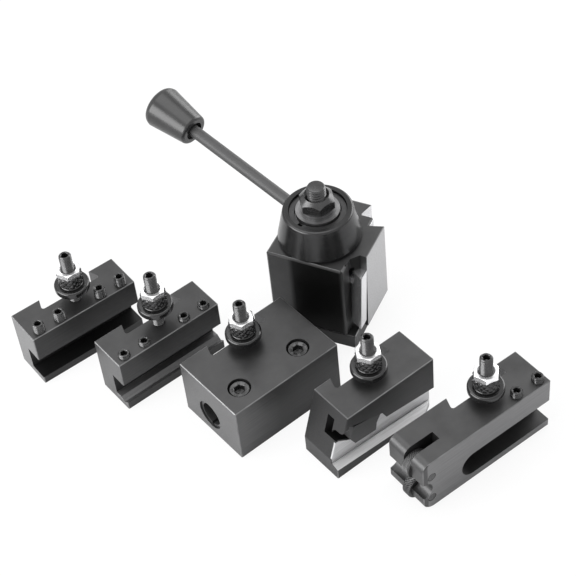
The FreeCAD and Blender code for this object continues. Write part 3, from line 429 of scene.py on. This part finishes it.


# Turned, plated, oiled and ground steel, and the knob's plastic

# the shade tone and fade are for painted shade where the spring ring and the sleeve meet the hub's cup
turned = {"clouds": (0.15, 4.0, 0.6), "cloudShare": 0.8, "ringDetail": 2.0, "ringRoughness": 0.6,
          "ringShare": 0.6, "cut": 0.2, "paintedShadeTone": 0.003, "paintedShadeFade": 4.0}
turnedLooks = {  # rings are a noise's scale
    "spring": {"dark": 0.03, "light": 0.1, "smooth": 0.24, "rough": 0.4, "metal": 0.85, "rings": 0.9,
               "bump": 0.1, "paintedShadeFrom": 13.9},
    "sleeve": {"dark": 0.02, "light": 0.4, "smooth": 0.2, "rough": 0.42, "metal": 0.9, "rings": 0.9,
               "bump": 0.25, "paintedShadeFrom": 11.05},
    "hub": {"dark": 0.03, "light": 0.055, "smooth": 0.2, "rough": 0.3, "metal": 0.85, "rings": 1.5,
            "bump": 0.03},
    "rod": {"dark": 0.05, "light": 0.075, "smooth": 0.5, "rough": 0.6, "metal": 0.6, "rings": 1.5,
            "bump": 0.08},
    "collar": {"dark": 0.1, "light": 0.2, "smooth": 0.25, "rough": 0.4, "metal": 0.9, "rings": 2.5,
               "bump": 0.1},
    "grip": {"dark": 0.035, "light": 0.07, "smooth": 0.14, "rough": 0.26, "metal": 0.85, "rings": 3.0,
             "bump": 0.1},
    "wheel": {"dark": 0.05, "light": 0.09, "smooth": 0.3, "rough": 0.42, "metal": 0.85, "rings": 2.5,
              "bump": 0.1},
}
cloudyLooks = {
    "oiledScrew": {"dark": 0.05, "light": 0.09, "smooth": 0.2, "rough": 0.32, "metal": 0.85,
                   "clouds": (0.4, 4.0, 0.6), "ripple": (3.0, 3.0, 0.5), "bump": 0.08},
    "zincPlate": {"dark": 0.84, "light": 0.93, "smooth": 0.2, "rough": 0.32, "metal": 0.85,
                  "clouds": (0.35, 3.0, 0.6), "ripple": (1.2, 3.0, 0.5), "bump": 0.06},
    "knobPlastic": {"dark": 0.014, "light": 0.024, "smooth": 0.24, "rough": 0.34, "metal": 0.0,
                    "clouds": (0.12, 3.0, 0.6), "ripple": (1.4, 2.0, 0.5), "bump": 0.05},
}
groundLook = {"dark": 0.62, "light": 0.85, "smooth": 0.15, "rough": 0.3, "metal": 0.95,
              "lines": (1.0, 3.0, 0.6), "stretch": (4.0, 4.0, 0.15), "bump": 0.1}


def turnedSteel(name, place, look):  # fine rings round the place's Z axis
    shader = Shader(name)
    point = shader.local(place)
    x, y, z = shader.parts(point)
    reach = (x * x + y * y) ** 0.5
    section = shader.combined(reach, z, 0.0)
    rings = shader.noise(section, look["rings"], turned["ringDetail"], turned["ringRoughness"])
    cloud = shader.noise(point, *turned["clouds"])
    marks = shader.clamp(cloud * turned["cloudShare"] + rings * turned["ringShare"] - turned["cut"])
    colour = shader.mixGrey(marks, look["dark"], look["light"])
    if "paintedShadeFrom" in look:  # painted shade in the corner outside this radius
        paintedShade = shader.clamp((reach - look["paintedShadeFrom"]) * turned["paintedShadeFade"])
        colour = shader.mixColour(paintedShade, colour, grey(turned["paintedShadeTone"]))
    roughness = shader.ranged(rings, look["smooth"], look["rough"])
    return shader.finish(colour, roughness, rings, look["bump"], look["metal"])


def cloudyFinish(name, place=Matrix()):
    look = cloudyLooks[name]
    shader = Shader(name)
    point = shader.local(place)
    cloud = shader.noise(point, *look["clouds"])
    ripple = shader.noise(point, *look["ripple"])
    colour = shader.mixGrey(cloud, look["dark"], look["light"])
    roughness = shader.ranged(cloud, look["smooth"], look["rough"])
    return shader.finish(colour, roughness, ripple, look["bump"], look["metal"])


def groundSteel():  # grinding lines up and down the post's wedges
    look = groundLook
    shader = Shader("groundSteel")
    lines = shader.noise(shader.stretched(shader.local(postPlace), look["stretch"]), *look["lines"])
    colour = shader.mixGrey(lines, look["dark"], look["light"])
    roughness = shader.ranged(lines, look["smooth"], look["rough"])
    return shader.finish(colour, roughness, lines, look["bump"], look["metal"])


screwFinish = cloudyFinish("oiledScrew")
zincFinish = cloudyFinish("zincPlate")
groundFinish = groundSteel()
barBorePlace = onHolder("bar", 0, barBore["back"], barBore["up"], turnedBy(90, "Y"))
carried = {
    "nut_plate": blockOxide("plate", platePlace(), nutPlate["size"]),
    "post_block": blockOxide("post", postPlace, postBlock["high"], postBlock["low"],
                             postPaintedLight.values()),
    "clamp_sleeve": turnedSteel("sleeveSteel", Matrix(), turnedLooks["sleeve"]),
    "hub_cone": turnedSteel("hubOxide", Matrix(), turnedLooks["hub"]),
    "hub_retaining_ring": turnedSteel("springSteel", Matrix(), turnedLooks["spring"]),
    "lever_rod": turnedSteel("rodOxide", leverPlace, turnedLooks["rod"]),
    "lever_knob": cloudyFinish("knobPlastic", leverPlace),
    "lift_nut": screwFinish, "wedge_right": groundFinish, "wedge_back": groundFinish,
    "bar_cotter_1": screwFinish, "bar_cotter_2": screwFinish,
    "bar_split_sleeve": turnedSteel("collarSteel", barBorePlace, turnedLooks["collar"]),
    "parting_blade_clamp": blockOxide("clamp", holderPlace("parting"), bladeClamp["size"]),
    "knurling_lower_pin": screwFinish, "knurling_upper_pin": screwFinish,
}
for holder in holders:
    carried[holder + "_holder_body"] = holderOxide(holder)
for nodeName, finish in carried.items():
    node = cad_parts[nodeName]
    node.data.materials.clear()
    node.data.materials.append(finish)
print("finishes on", len(carried), "carried pieces")


# Threads and knurls: a sheet of points wrapped round an axis by a Geometry Nodes tree

weldDistance = 1e-6
rowsInPitch = 4  # both edges of the crest and of the root
crestWidth = 0.125  # of the pitch, and the root is as wide
knurlSlope = 3.4  # how steeply a cell rises from its grooves


class Grower(Nodes):
    def __init__(self, name, sizes):
        super().__init__(bpy.data.node_groups.new(name, "GeometryNodeTree"))
        sockets = self.tree.interface
        sockets.new_socket("Geometry", in_out="OUTPUT", socket_type="NodeSocketGeometry")
        for size, value in sizes.items():
            kind = "NodeSocketInt" if isinstance(value, int) else "NodeSocketFloat"
            sockets.new_socket(size, in_out="INPUT", socket_type=kind).default_value = value
        sockets.new_socket("Finish", in_out="INPUT", socket_type="NodeSocketMaterial")
        self.source = self.node("NodeGroupInput")

    def given(self, *names):
        return [self.field(self.source, name) for name in names]

    def least(self, first, *others):
        for other in others:
            first = self.math("MINIMUM", first, other)
        return first

    def sheet(self, columns, rows):  # returns how far round and how far along each point is, from 0 to 1
        grid = self.node("GeometryNodeMeshGrid", None, {
            "Size X": 1.0, "Size Y": 1.0, "Vertices X": columns + 1, "Vertices Y": rows + 1})
        self.points = self.field(grid)
        x, y, z = self.parts(self.field(self.node("GeometryNodeInputPosition")))
        return x + 0.5, y + 0.5

    def wrap(self, around, reach, height):
        angle = around * (2 * math.pi)
        place = self.combined(reach * self.math("COSINE", angle), reach * self.math("SINE", angle), height)
        moved = self.node("GeometryNodeSetPosition", None, {"Geometry": self.points, "Position": place})
        merged = self.node("GeometryNodeMergeByDistance", None, {
            "Geometry": self.field(moved), "Distance": weldDistance})
        real = self.node("GeometryNodeRealizeInstances", None, {"Geometry": self.field(merged)})
        coated = self.node("GeometryNodeSetMaterial", None, {
            "Geometry": self.field(real), "Material": self.given("Finish")[0]})
        self.node("NodeGroupOutput", None, {"Geometry": self.field(coated)})
        return self.tree


def threadTree():  # a helical ridge with chamfered ends
    tree = Grower("cutThread", {"Pitch": 0.001, "Starts": 1, "Radius": 0.003, "Depth": 0.0004,
                                "Length": 0.02, "Point": 0.0024, "Columns": 36})
    pitch, starts, radius, depth, length, point, columns = tree.given(
        "Pitch", "Starts", "Radius", "Depth", "Length", "Point", "Columns")
    rounds = tree.math("CEIL", length / pitch) + starts
    around, along = tree.sheet(columns, rounds * rowsInPitch)
    row = tree.math("ROUND", along * rounds * rowsInPitch)
    climb = row / rowsInPitch - tree.math("MODULO", row, 2) * crestWidth
    height = (climb - starts + around * starts) * pitch
    height = tree.least(tree.math("MAXIMUM", height, 0), length)
    fromCrest = tree.math("PINGPONG", height / pitch - around * starts - crestWidth / 2, 0.5)
    crest = tree.clamp((0.5 - crestWidth / 2 - fromCrest) / (0.5 - crestWidth))
    reach = tree.least(radius - depth * (1 - crest), point + height, point + length - height)
    return tree.wrap(around, reach, height)


def knurlTree():  # raised cells where two sets of slanted grooves cross
    tree = Grower("rolledKnurl", {"Radius": 0.0065, "Depth": 0.0004, "Height": 0.006, "Edge": 0.006,
                                  "Around": 13, "Lean": 2.0, "Counter Lean": -2.0, "Samples": 8,
                                  "Rows": 16})
    radius, depth, height, edge, cells, lean, counter, samples, rows = tree.given(
        "Radius", "Depth", "Height", "Edge", "Around", "Lean", "Counter Lean", "Samples", "Rows")
    around, along = tree.sheet(cells * samples, rows)
    first = tree.math("PINGPONG", around * cells + along * lean, 0.5)
    second = tree.math("PINGPONG", around * cells + along * counter, 0.5)
    rise = tree.clamp(tree.least(first, second) * knurlSlope)
    level = along * height
    reach = tree.least(radius - depth * (1 - rise), edge + level, edge + height - level)
    return tree.wrap(around, reach, level)


def addGrown(bm, tree, finish, lengths, numbers, bottom=0.0):  # lengths and bottom in millimetres
    blank = bpy.data.objects.new("blank", bpy.data.meshes.new("blank"))
    bpy.context.scene.collection.objects.link(blank)
    modifier = blank.modifiers.new("grow", "NODES")
    modifier.node_group = tree
    values = {name: length * mm for name, length in lengths.items()}
    values.update(numbers, Finish=finish)
    for socket in tree.interface.items_tree:
        if socket.in_out == "INPUT" and socket.name in values:
            modifier[socket.identifier] = values[socket.name]
    mesh = bpy.data.meshes.new_from_object(blank.evaluated_get(bpy.context.evaluated_depsgraph_get()))
    bpy.data.objects.remove(blank)
    mesh.transform(movedBy(0, 0, bottom))
    bm.from_mesh(mesh)
    bpy.data.meshes.remove(mesh)


threads = threadTree()
knurls = knurlTree()


def addThread(bm, sizes, point, bottom, top):
    lengths = {"Pitch": sizes["pitch"], "Radius": sizes["radius"], "Depth": sizes["depth"],
               "Length": top - bottom, "Point": point}
    numbers = {"Starts": sizes.get("starts", 1), "Columns": sizes["columns"]}
    addGrown(bm, threads, screwFinish, lengths, numbers, bottom)


# Rows are pairs of reach and height, each a length or a rule of the angle
def spin(bm, rows, columns, closed=False):
    rings = []
    for reach, height in rows:
        ring = []
        for step in range(1 if reach == 0 else columns):
            angle = 2 * math.pi * step / columns
            across = reach(angle) if callable(reach) else reach
            level = height(angle) if callable(height) else height
            point = Vector((across * math.cos(angle), across * math.sin(angle), level))
            ring.append(bm.verts.new(point * mm))
        rings.append(ring)
    if closed:
        rings.append(rings[0])
    for lower, upper in zip(rings, rings[1:]):
        for step in range(columns):
            after = step + 1
            corners = [lower[step % len(lower)], lower[after % len(lower)],
                       upper[after % len(upper)], upper[step % len(upper)]]
            bm.faces.new(list(dict.fromkeys(corners)))


def arc(middle, height, radius, first, last, steps=5):
    rows = []
    for step in range(steps + 1):
        angle = math.radians(first + (last - first) * step / steps)
        rows.append((middle + radius * math.cos(angle), height + radius * math.sin(angle)))
    return rows


def hexagon(flats):
    def reach(angle):
        return flats / 2 / math.cos(angle % (math.pi / 3) - math.pi / 6)
    return reach


def welded(name, bm, finish, sharp=32):
    bmesh.ops.remove_doubles(bm, verts=bm.verts, dist=weldDistance)
    bmesh.ops.recalc_face_normals(bm, faces=bm.faces)
    mesh = bpy.data.meshes.new(name)
    bm.to_mesh(mesh)
    bm.free()
    mesh.materials.append(finish)
    mesh.shade_smooth()
    mesh.set_sharp_from_angle(angle=math.radians(sharp))
    return mesh


def stand(name, mesh, place, node, body=None):
    mesh = mesh.copy()
    mesh.transform(place)
    piece = bpy.data.objects.new(name, mesh)
    bpy.context.scene.collection.objects.link(piece)
    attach(piece, body or node)
    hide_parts(node)


# Screws: a rolled thread with a hexagon socket

socketEnds = {"mouth": 0.12, "mouthDepth": 0.25, "drillPoint": 0.6}
heightStud = {"radius": 3.175, "length": 40.0, "chamfer": 0.75, "pitch": 0.907, "depth": 0.3,
              "socket": 3.2, "socketDepth": 3.5, "columns": 36, "aboveNut": 23.3}
setScrew = {"radius": 3.0, "chamfer": 0.55, "pitch": 1.0, "depth": 0.3, "socket": 3.1, "socketDepth": 3.5,
            "columns": 36}
screwRows = {
    "turning": {"across": (6.0, 18.0, 42.0, 54.0), "back": 4.1, "length": 20.0, "proud": 5.0},
    "vee": {"across": (6.0, 18.0, 42.0, 54.0), "back": 4.1, "length": 16.0, "proud": 2.0},
    "knurling": {"across": (58.0, 71.3), "back": 4.4, "length": 16.0, "proud": 3.0},
}


def socketRows(top, sizes):
    flats = sizes["socket"]
    corner = flats / math.sqrt(3)
    floor = top - sizes["socketDepth"]
    return [(corner + socketEnds["mouth"], top), (hexagon(flats), top - socketEnds["mouthDepth"]),
            (hexagon(flats), floor), (0, floor - socketEnds["drillPoint"])]


def socketScrew(name, sizes):
    bm = bmesh.new()
    point = sizes["radius"] - sizes["chamfer"]
    top = sizes["length"]
    addThread(bm, sizes, point, 0.0, top)
    spin(bm, [(0, 0), (point, 0)], sizes["columns"])
    spin(bm, [(point, top)] + socketRows(top, sizes), sizes["columns"])
    return welded(name, bm, screwFinish)


studMesh = socketScrew("heightStud", heightStud)
for holder, values in holders.items():
    bottom = values["nutBottom"] + heightStud["aboveNut"] - heightStud["length"]
    stand(holder + "HeightStud", studMesh, overStud(holder, bottom),
          holder + "_height_stud", holder + "_holder")
for holder, values in screwRows.items():
    screwMesh = socketScrew("setScrew", dict(setScrew, length=values["length"]))
    bottom = holders[holder]["size"][2] + values["proud"] - values["length"]
    for index, across in enumerate(values["across"]):
        stand("%sSetScrew%d" % (holder, index + 1), screwMesh,
              onHolder(holder, across, values["back"], bottom), "%s_set_screw_%d" % (holder, index + 1))
print("studs and set screws threaded")

# Cap screws: a finely knurled head over the thread

capScrew = {"headRadius": 5.0, "headHeight": 6.0, "headEdge": 0.35, "radius": 3.0, "length": 14.0,
            "chamfer": 0.5, "pitch": 1.0, "depth": 0.45, "socket": 5.0, "socketDepth": 3.2, "cells": 48,
            "columns": 36, "across": (11.8, 47.9), "back": 11.7, "up": 26.05}
clampScrew = {"headRadius": 4.25, "headHeight": 2.8, "headEdge": 0.35, "radius": 2.5, "length": 7.5,
              "chamfer": 0.5, "pitch": 0.8, "depth": 0.38, "socket": 3.0, "socketDepth": 1.8, "cells": 42,
              "columns": 36, "across": 12.0, "back": 14.25, "up": 24.6}
screwHead = {"shankInside": 0.4, "knurl": 0.14, "undercut": 0.05, "plainBand": 1.0, "runOut": 0.2,
             "lean": 1.5, "samples": 4, "rowsInMillimetre": 6}


def cappedScrew(name, sizes):
    bm = bmesh.new()
    point = sizes["radius"] - sizes["chamfer"]
    shankEnd, shankTop = -sizes["length"], screwHead["shankInside"]
    addThread(bm, sizes, point, shankEnd, shankTop)
    spin(bm, [(0, shankEnd), (point, shankEnd)], sizes["columns"])
    spin(bm, [(point, shankTop), (0, shankTop)], sizes["columns"])
    columns = sizes["cells"] * screwHead["samples"]
    radius, top, bevel = sizes["headRadius"], sizes["headHeight"], sizes["headEdge"]
    edge = radius - screwHead["knurl"] - screwHead["undercut"]
    rolled = top - bevel - screwHead["plainBand"]
    lean = rolled * screwHead["lean"]
    lengths = {"Radius": radius, "Edge": edge, "Depth": screwHead["knurl"], "Height": rolled}
    numbers = {"Around": sizes["cells"], "Lean": lean, "Counter Lean": -lean,
               "Samples": screwHead["samples"], "Rows": int(rolled * screwHead["rowsInMillimetre"])}
    addGrown(bm, knurls, screwFinish, lengths, numbers)
    spin(bm, [(0, 0), (edge, 0)], columns)
    spin(bm, [(edge, rolled), (radius, rolled + screwHead["runOut"]), (radius, top - bevel),
              (radius - bevel, top)] + socketRows(top, sizes), columns)
    return welded(name, bm, screwFinish)


capMesh = cappedScrew("capScrew", capScrew)
for index, across in enumerate(capScrew["across"]):
    stand("barCapScrew%d" % (index + 1), capMesh,
          onHolder("bar", across, capScrew["back"], capScrew["up"]), "bar_cap_screw_%d" % (index + 1))
clampScrewPlace = onHolder("parting", clampScrew["across"], clampScrew["back"], clampScrew["up"],
                           turnedBy(-90, "X"))
stand("partingClampScrew", cappedScrew("clampScrew", clampScrew), clampScrewPlace, "parting_clamp_screw")
print("cap screws in")

# Height stops: a knurled thumb nut, and a plated lock nut on it

thumbNut = {"bore": 3.225, "boreBevel": 0.5, "flangeRadius": 8.9, "flangeHeight": 4.0, "flangeRound": 1.1,
            "flangeArc": 75, "neckRadius": 5.6, "neckTop": 4.8, "neckBevel": 0.3, "gripRadius": 6.5,
            "gripTop": 10.95, "gripEdge": 0.5, "knurl": 0.48, "lean": 2.0, "cells": 13, "samples": 8,
            "rows": 16}
lockNut = {"flats": 11.11, "height": 3.0, "bore": 3.225, "sink": 4.2, "crown": 5.4, "crownLean": 30.0,
           "aboveThumb": 11.0}
centreNut = {"flats": 15.875, "height": 7.1, "bore": 4.8125, "sink": 6.15, "crown": 6.3, "crownLean": 45.0,
             "up": 75.7, "turn": 4.0}
hexShape = {"footShare": 0.54, "footLean": 30.0, "columns": 96, "sharp": 15}


def knurledNut(name, finish):
    bm = bmesh.new()
    sizes = thumbNut
    columns = sizes["cells"] * sizes["samples"]
    top, neckTop, neckRadius = sizes["gripTop"], sizes["neckTop"], sizes["neckRadius"]
    bore, bevel = sizes["bore"], sizes["boreBevel"]
    edge = sizes["gripRadius"] - sizes["gripEdge"]
    lengths = {"Radius": sizes["gripRadius"], "Edge": edge, "Depth": sizes["knurl"],
               "Height": top - neckTop}
    numbers = {"Around": sizes["cells"], "Lean": sizes["lean"], "Counter Lean": -sizes["lean"],
               "Samples": sizes["samples"], "Rows": sizes["rows"]}
    addGrown(bm, knurls, finish, lengths, numbers, neckTop)
    flange, corner, swing = sizes["flangeHeight"], sizes["flangeRound"], sizes["flangeArc"]
    inner = sizes["flangeRadius"] - corner
    rows = [(bore + bevel, 0), (inner, 0)]
    rows += arc(inner, corner, corner, -swing, 0)
    rows += arc(inner, flange - corner, corner, 0, swing)
    rows += [(inner, flange), (neckRadius + sizes["neckBevel"], flange),
             (neckRadius, flange + sizes["neckBevel"]), (neckRadius, neckTop), (edge, neckTop)]
    spin(bm, rows, columns)
    spin(bm, [(edge, top), (bore + bevel, top), (bore, top - bevel), (bore, bevel), (bore + bevel, 0)],
         columns)
    return welded(name, bm, finish)


def hexNut(name, sizes, finish):  # the crown's cone cuts each flat in an arc, the foot's only the corners
    bm = bmesh.new()
    crownSlope = math.tan(math.radians(sizes["crownLean"]))
    footSlope = math.tan(math.radians(hexShape["footLean"]))
    flats = hexagon(sizes["flats"])
    standsOn = sizes["flats"] * hexShape["footShare"]
    bore, sink, top = sizes["bore"], sizes["sink"], sizes["height"]

    def footRim(angle):
        return min(flats(angle), standsOn)

    def lowEdge(angle):
        return max(0.0, flats(angle) - standsOn) * footSlope

    def highEdge(angle):
        return top - (flats(angle) - sizes["crown"]) * crownSlope

    spin(bm, [(bore, 0.0), (footRim, 0.0), (flats, lowEdge), (flats, highEdge), (sizes["crown"], top),
              (sink, top), (bore, top - sink + bore)], hexShape["columns"], closed=True)
    return welded(name, bm, finish, hexShape["sharp"])


for holder, values in holders.items():
    thumbPlace = overStud(holder, values["nutBottom"])
    gripFinish = turnedSteel(holder + "GripOxide", thumbPlace, turnedLooks["grip"])
    stand(holder + "ThumbNut", knurledNut("thumbNut", gripFinish), thumbPlace, holder + "_thumb_nut")
    lockPlace = overStud(holder, values["nutBottom"] + lockNut["aboveThumb"], values["lockTurn"])
    stand(holder + "LockNut", hexNut("lockNut", lockNut, zincFinish), lockPlace, holder + "_lock_nut")
print("height stops knurled")

# Middle of the post: threaded stud, its nut and the quick screw that the hub turns on

centreStud = {"radius": 4.7625, "bottom": 0.6, "threadFrom": 24.0, "relief": 1.5, "reliefNeck": 0.5,
              "top": 88.0, "chamfer": 0.7, "pitch": 1.5875, "depth": 0.7, "crownRadius": 3.4,
              "crownHeight": 0.15, "columns": 48}
quickScrew = {"radius": 8.8, "inner": 7.1, "bottom": 22.0, "threadTop": 56.0, "runOut": 0.6,
              "cupFloor": 66.2, "collar": 11.0, "collarTop": 67.7, "pitch": 3.6, "starts": 4, "depth": 1.1,
              "endBevel": 0.1, "columns": 72}


def postStud(sizes):
    bm = bmesh.new()
    radius, bottom, top, start = sizes["radius"], sizes["bottom"], sizes["top"], sizes["threadFrom"]
    point = radius - sizes["chamfer"]
    crown = top - sizes["crownHeight"]
    addThread(bm, sizes, point, start, crown)
    spin(bm, [(0, bottom), (radius, bottom), (radius, start - sizes["relief"]),
              (point, start - sizes["reliefNeck"]), (point, start)], sizes["columns"])
    spin(bm, [(point, crown), (sizes["crownRadius"], top), (0, top)], sizes["columns"])
    return welded("postStud", bm, screwFinish)


def hubScrew(sizes):
    bm = bmesh.new()
    radius, inner, bottom, end = sizes["radius"], sizes["inner"], sizes["bottom"], sizes["threadTop"]
    point = radius - sizes["depth"] - sizes["endBevel"]
    addThread(bm, sizes, point, bottom, end)
    spin(bm, [(point, end), (radius, end + sizes["runOut"]), (radius, sizes["cupFloor"]),
              (sizes["collar"], sizes["cupFloor"]), (sizes["collar"], sizes["collarTop"]),
              (inner, sizes["collarTop"]), (inner, bottom), (point, bottom)], sizes["columns"])
    return welded("hubScrew", bm, screwFinish)


stand("postStud", postStud(centreStud), Matrix(), "centre_stud", "base")
stand("postNut", hexNut("postNut", centreNut, screwFinish),
      movedBy(0, 0, centreNut["up"]) @ turnedBy(postBlock["turn"] + centreNut["turn"]), "centre_nut")
stand("hubScrew", hubScrew(quickScrew), Matrix(), "hub_screw", "hub")
print("post's middle in")

# Knurling wheels: slanted teeth, one hand on each wheel

knurlWheel = {"radius": 7.14, "width": 4.7625, "edge": 0.4, "bore": 2.43, "teeth": 44, "depth": 0.36,
              "slant": 2.7, "samples": 6, "rows": 18, "across": 2.4, "forkFrom": 8.3, "forkGap": 5.0,
              "lower": 7.2, "upper": 22.6}


def wheelPlace(up):
    back = knurlWheel["forkFrom"] + (knurlWheel["forkGap"] - knurlWheel["width"]) / 2
    return onHolder("knurling", knurlWheel["across"], back, up, turnedBy(-90, "X"))


def toothedWheel(name, finish, slant):
    bm = bmesh.new()
    sizes = knurlWheel
    columns = sizes["teeth"] * sizes["samples"]
    edge, bore, width = sizes["radius"] - sizes["edge"], sizes["bore"], sizes["width"]
    lengths = {"Radius": sizes["radius"], "Edge": edge, "Depth": sizes["depth"], "Height": width}
    numbers = {"Around": sizes["teeth"], "Lean": slant, "Counter Lean": slant,
               "Samples": sizes["samples"], "Rows": sizes["rows"]}
    addGrown(bm, knurls, finish, lengths, numbers)
    spin(bm, [(bore, 0), (edge, 0)], columns)
    spin(bm, [(edge, width), (bore, width), (bore, 0)], columns)
    return welded(name, bm, finish)


wheelFinish = turnedSteel("wheelSteel", wheelPlace(knurlWheel["lower"]), turnedLooks["wheel"])
for level, slant in (("lower", knurlWheel["slant"]), ("upper", -knurlWheel["slant"])):
    stand(level + "KnurlWheel", toothedWheel("knurlWheel", wheelFinish, slant),
          wheelPlace(knurlWheel[level]), "knurling_%s_wheel" % level)
print("knurling wheels in")
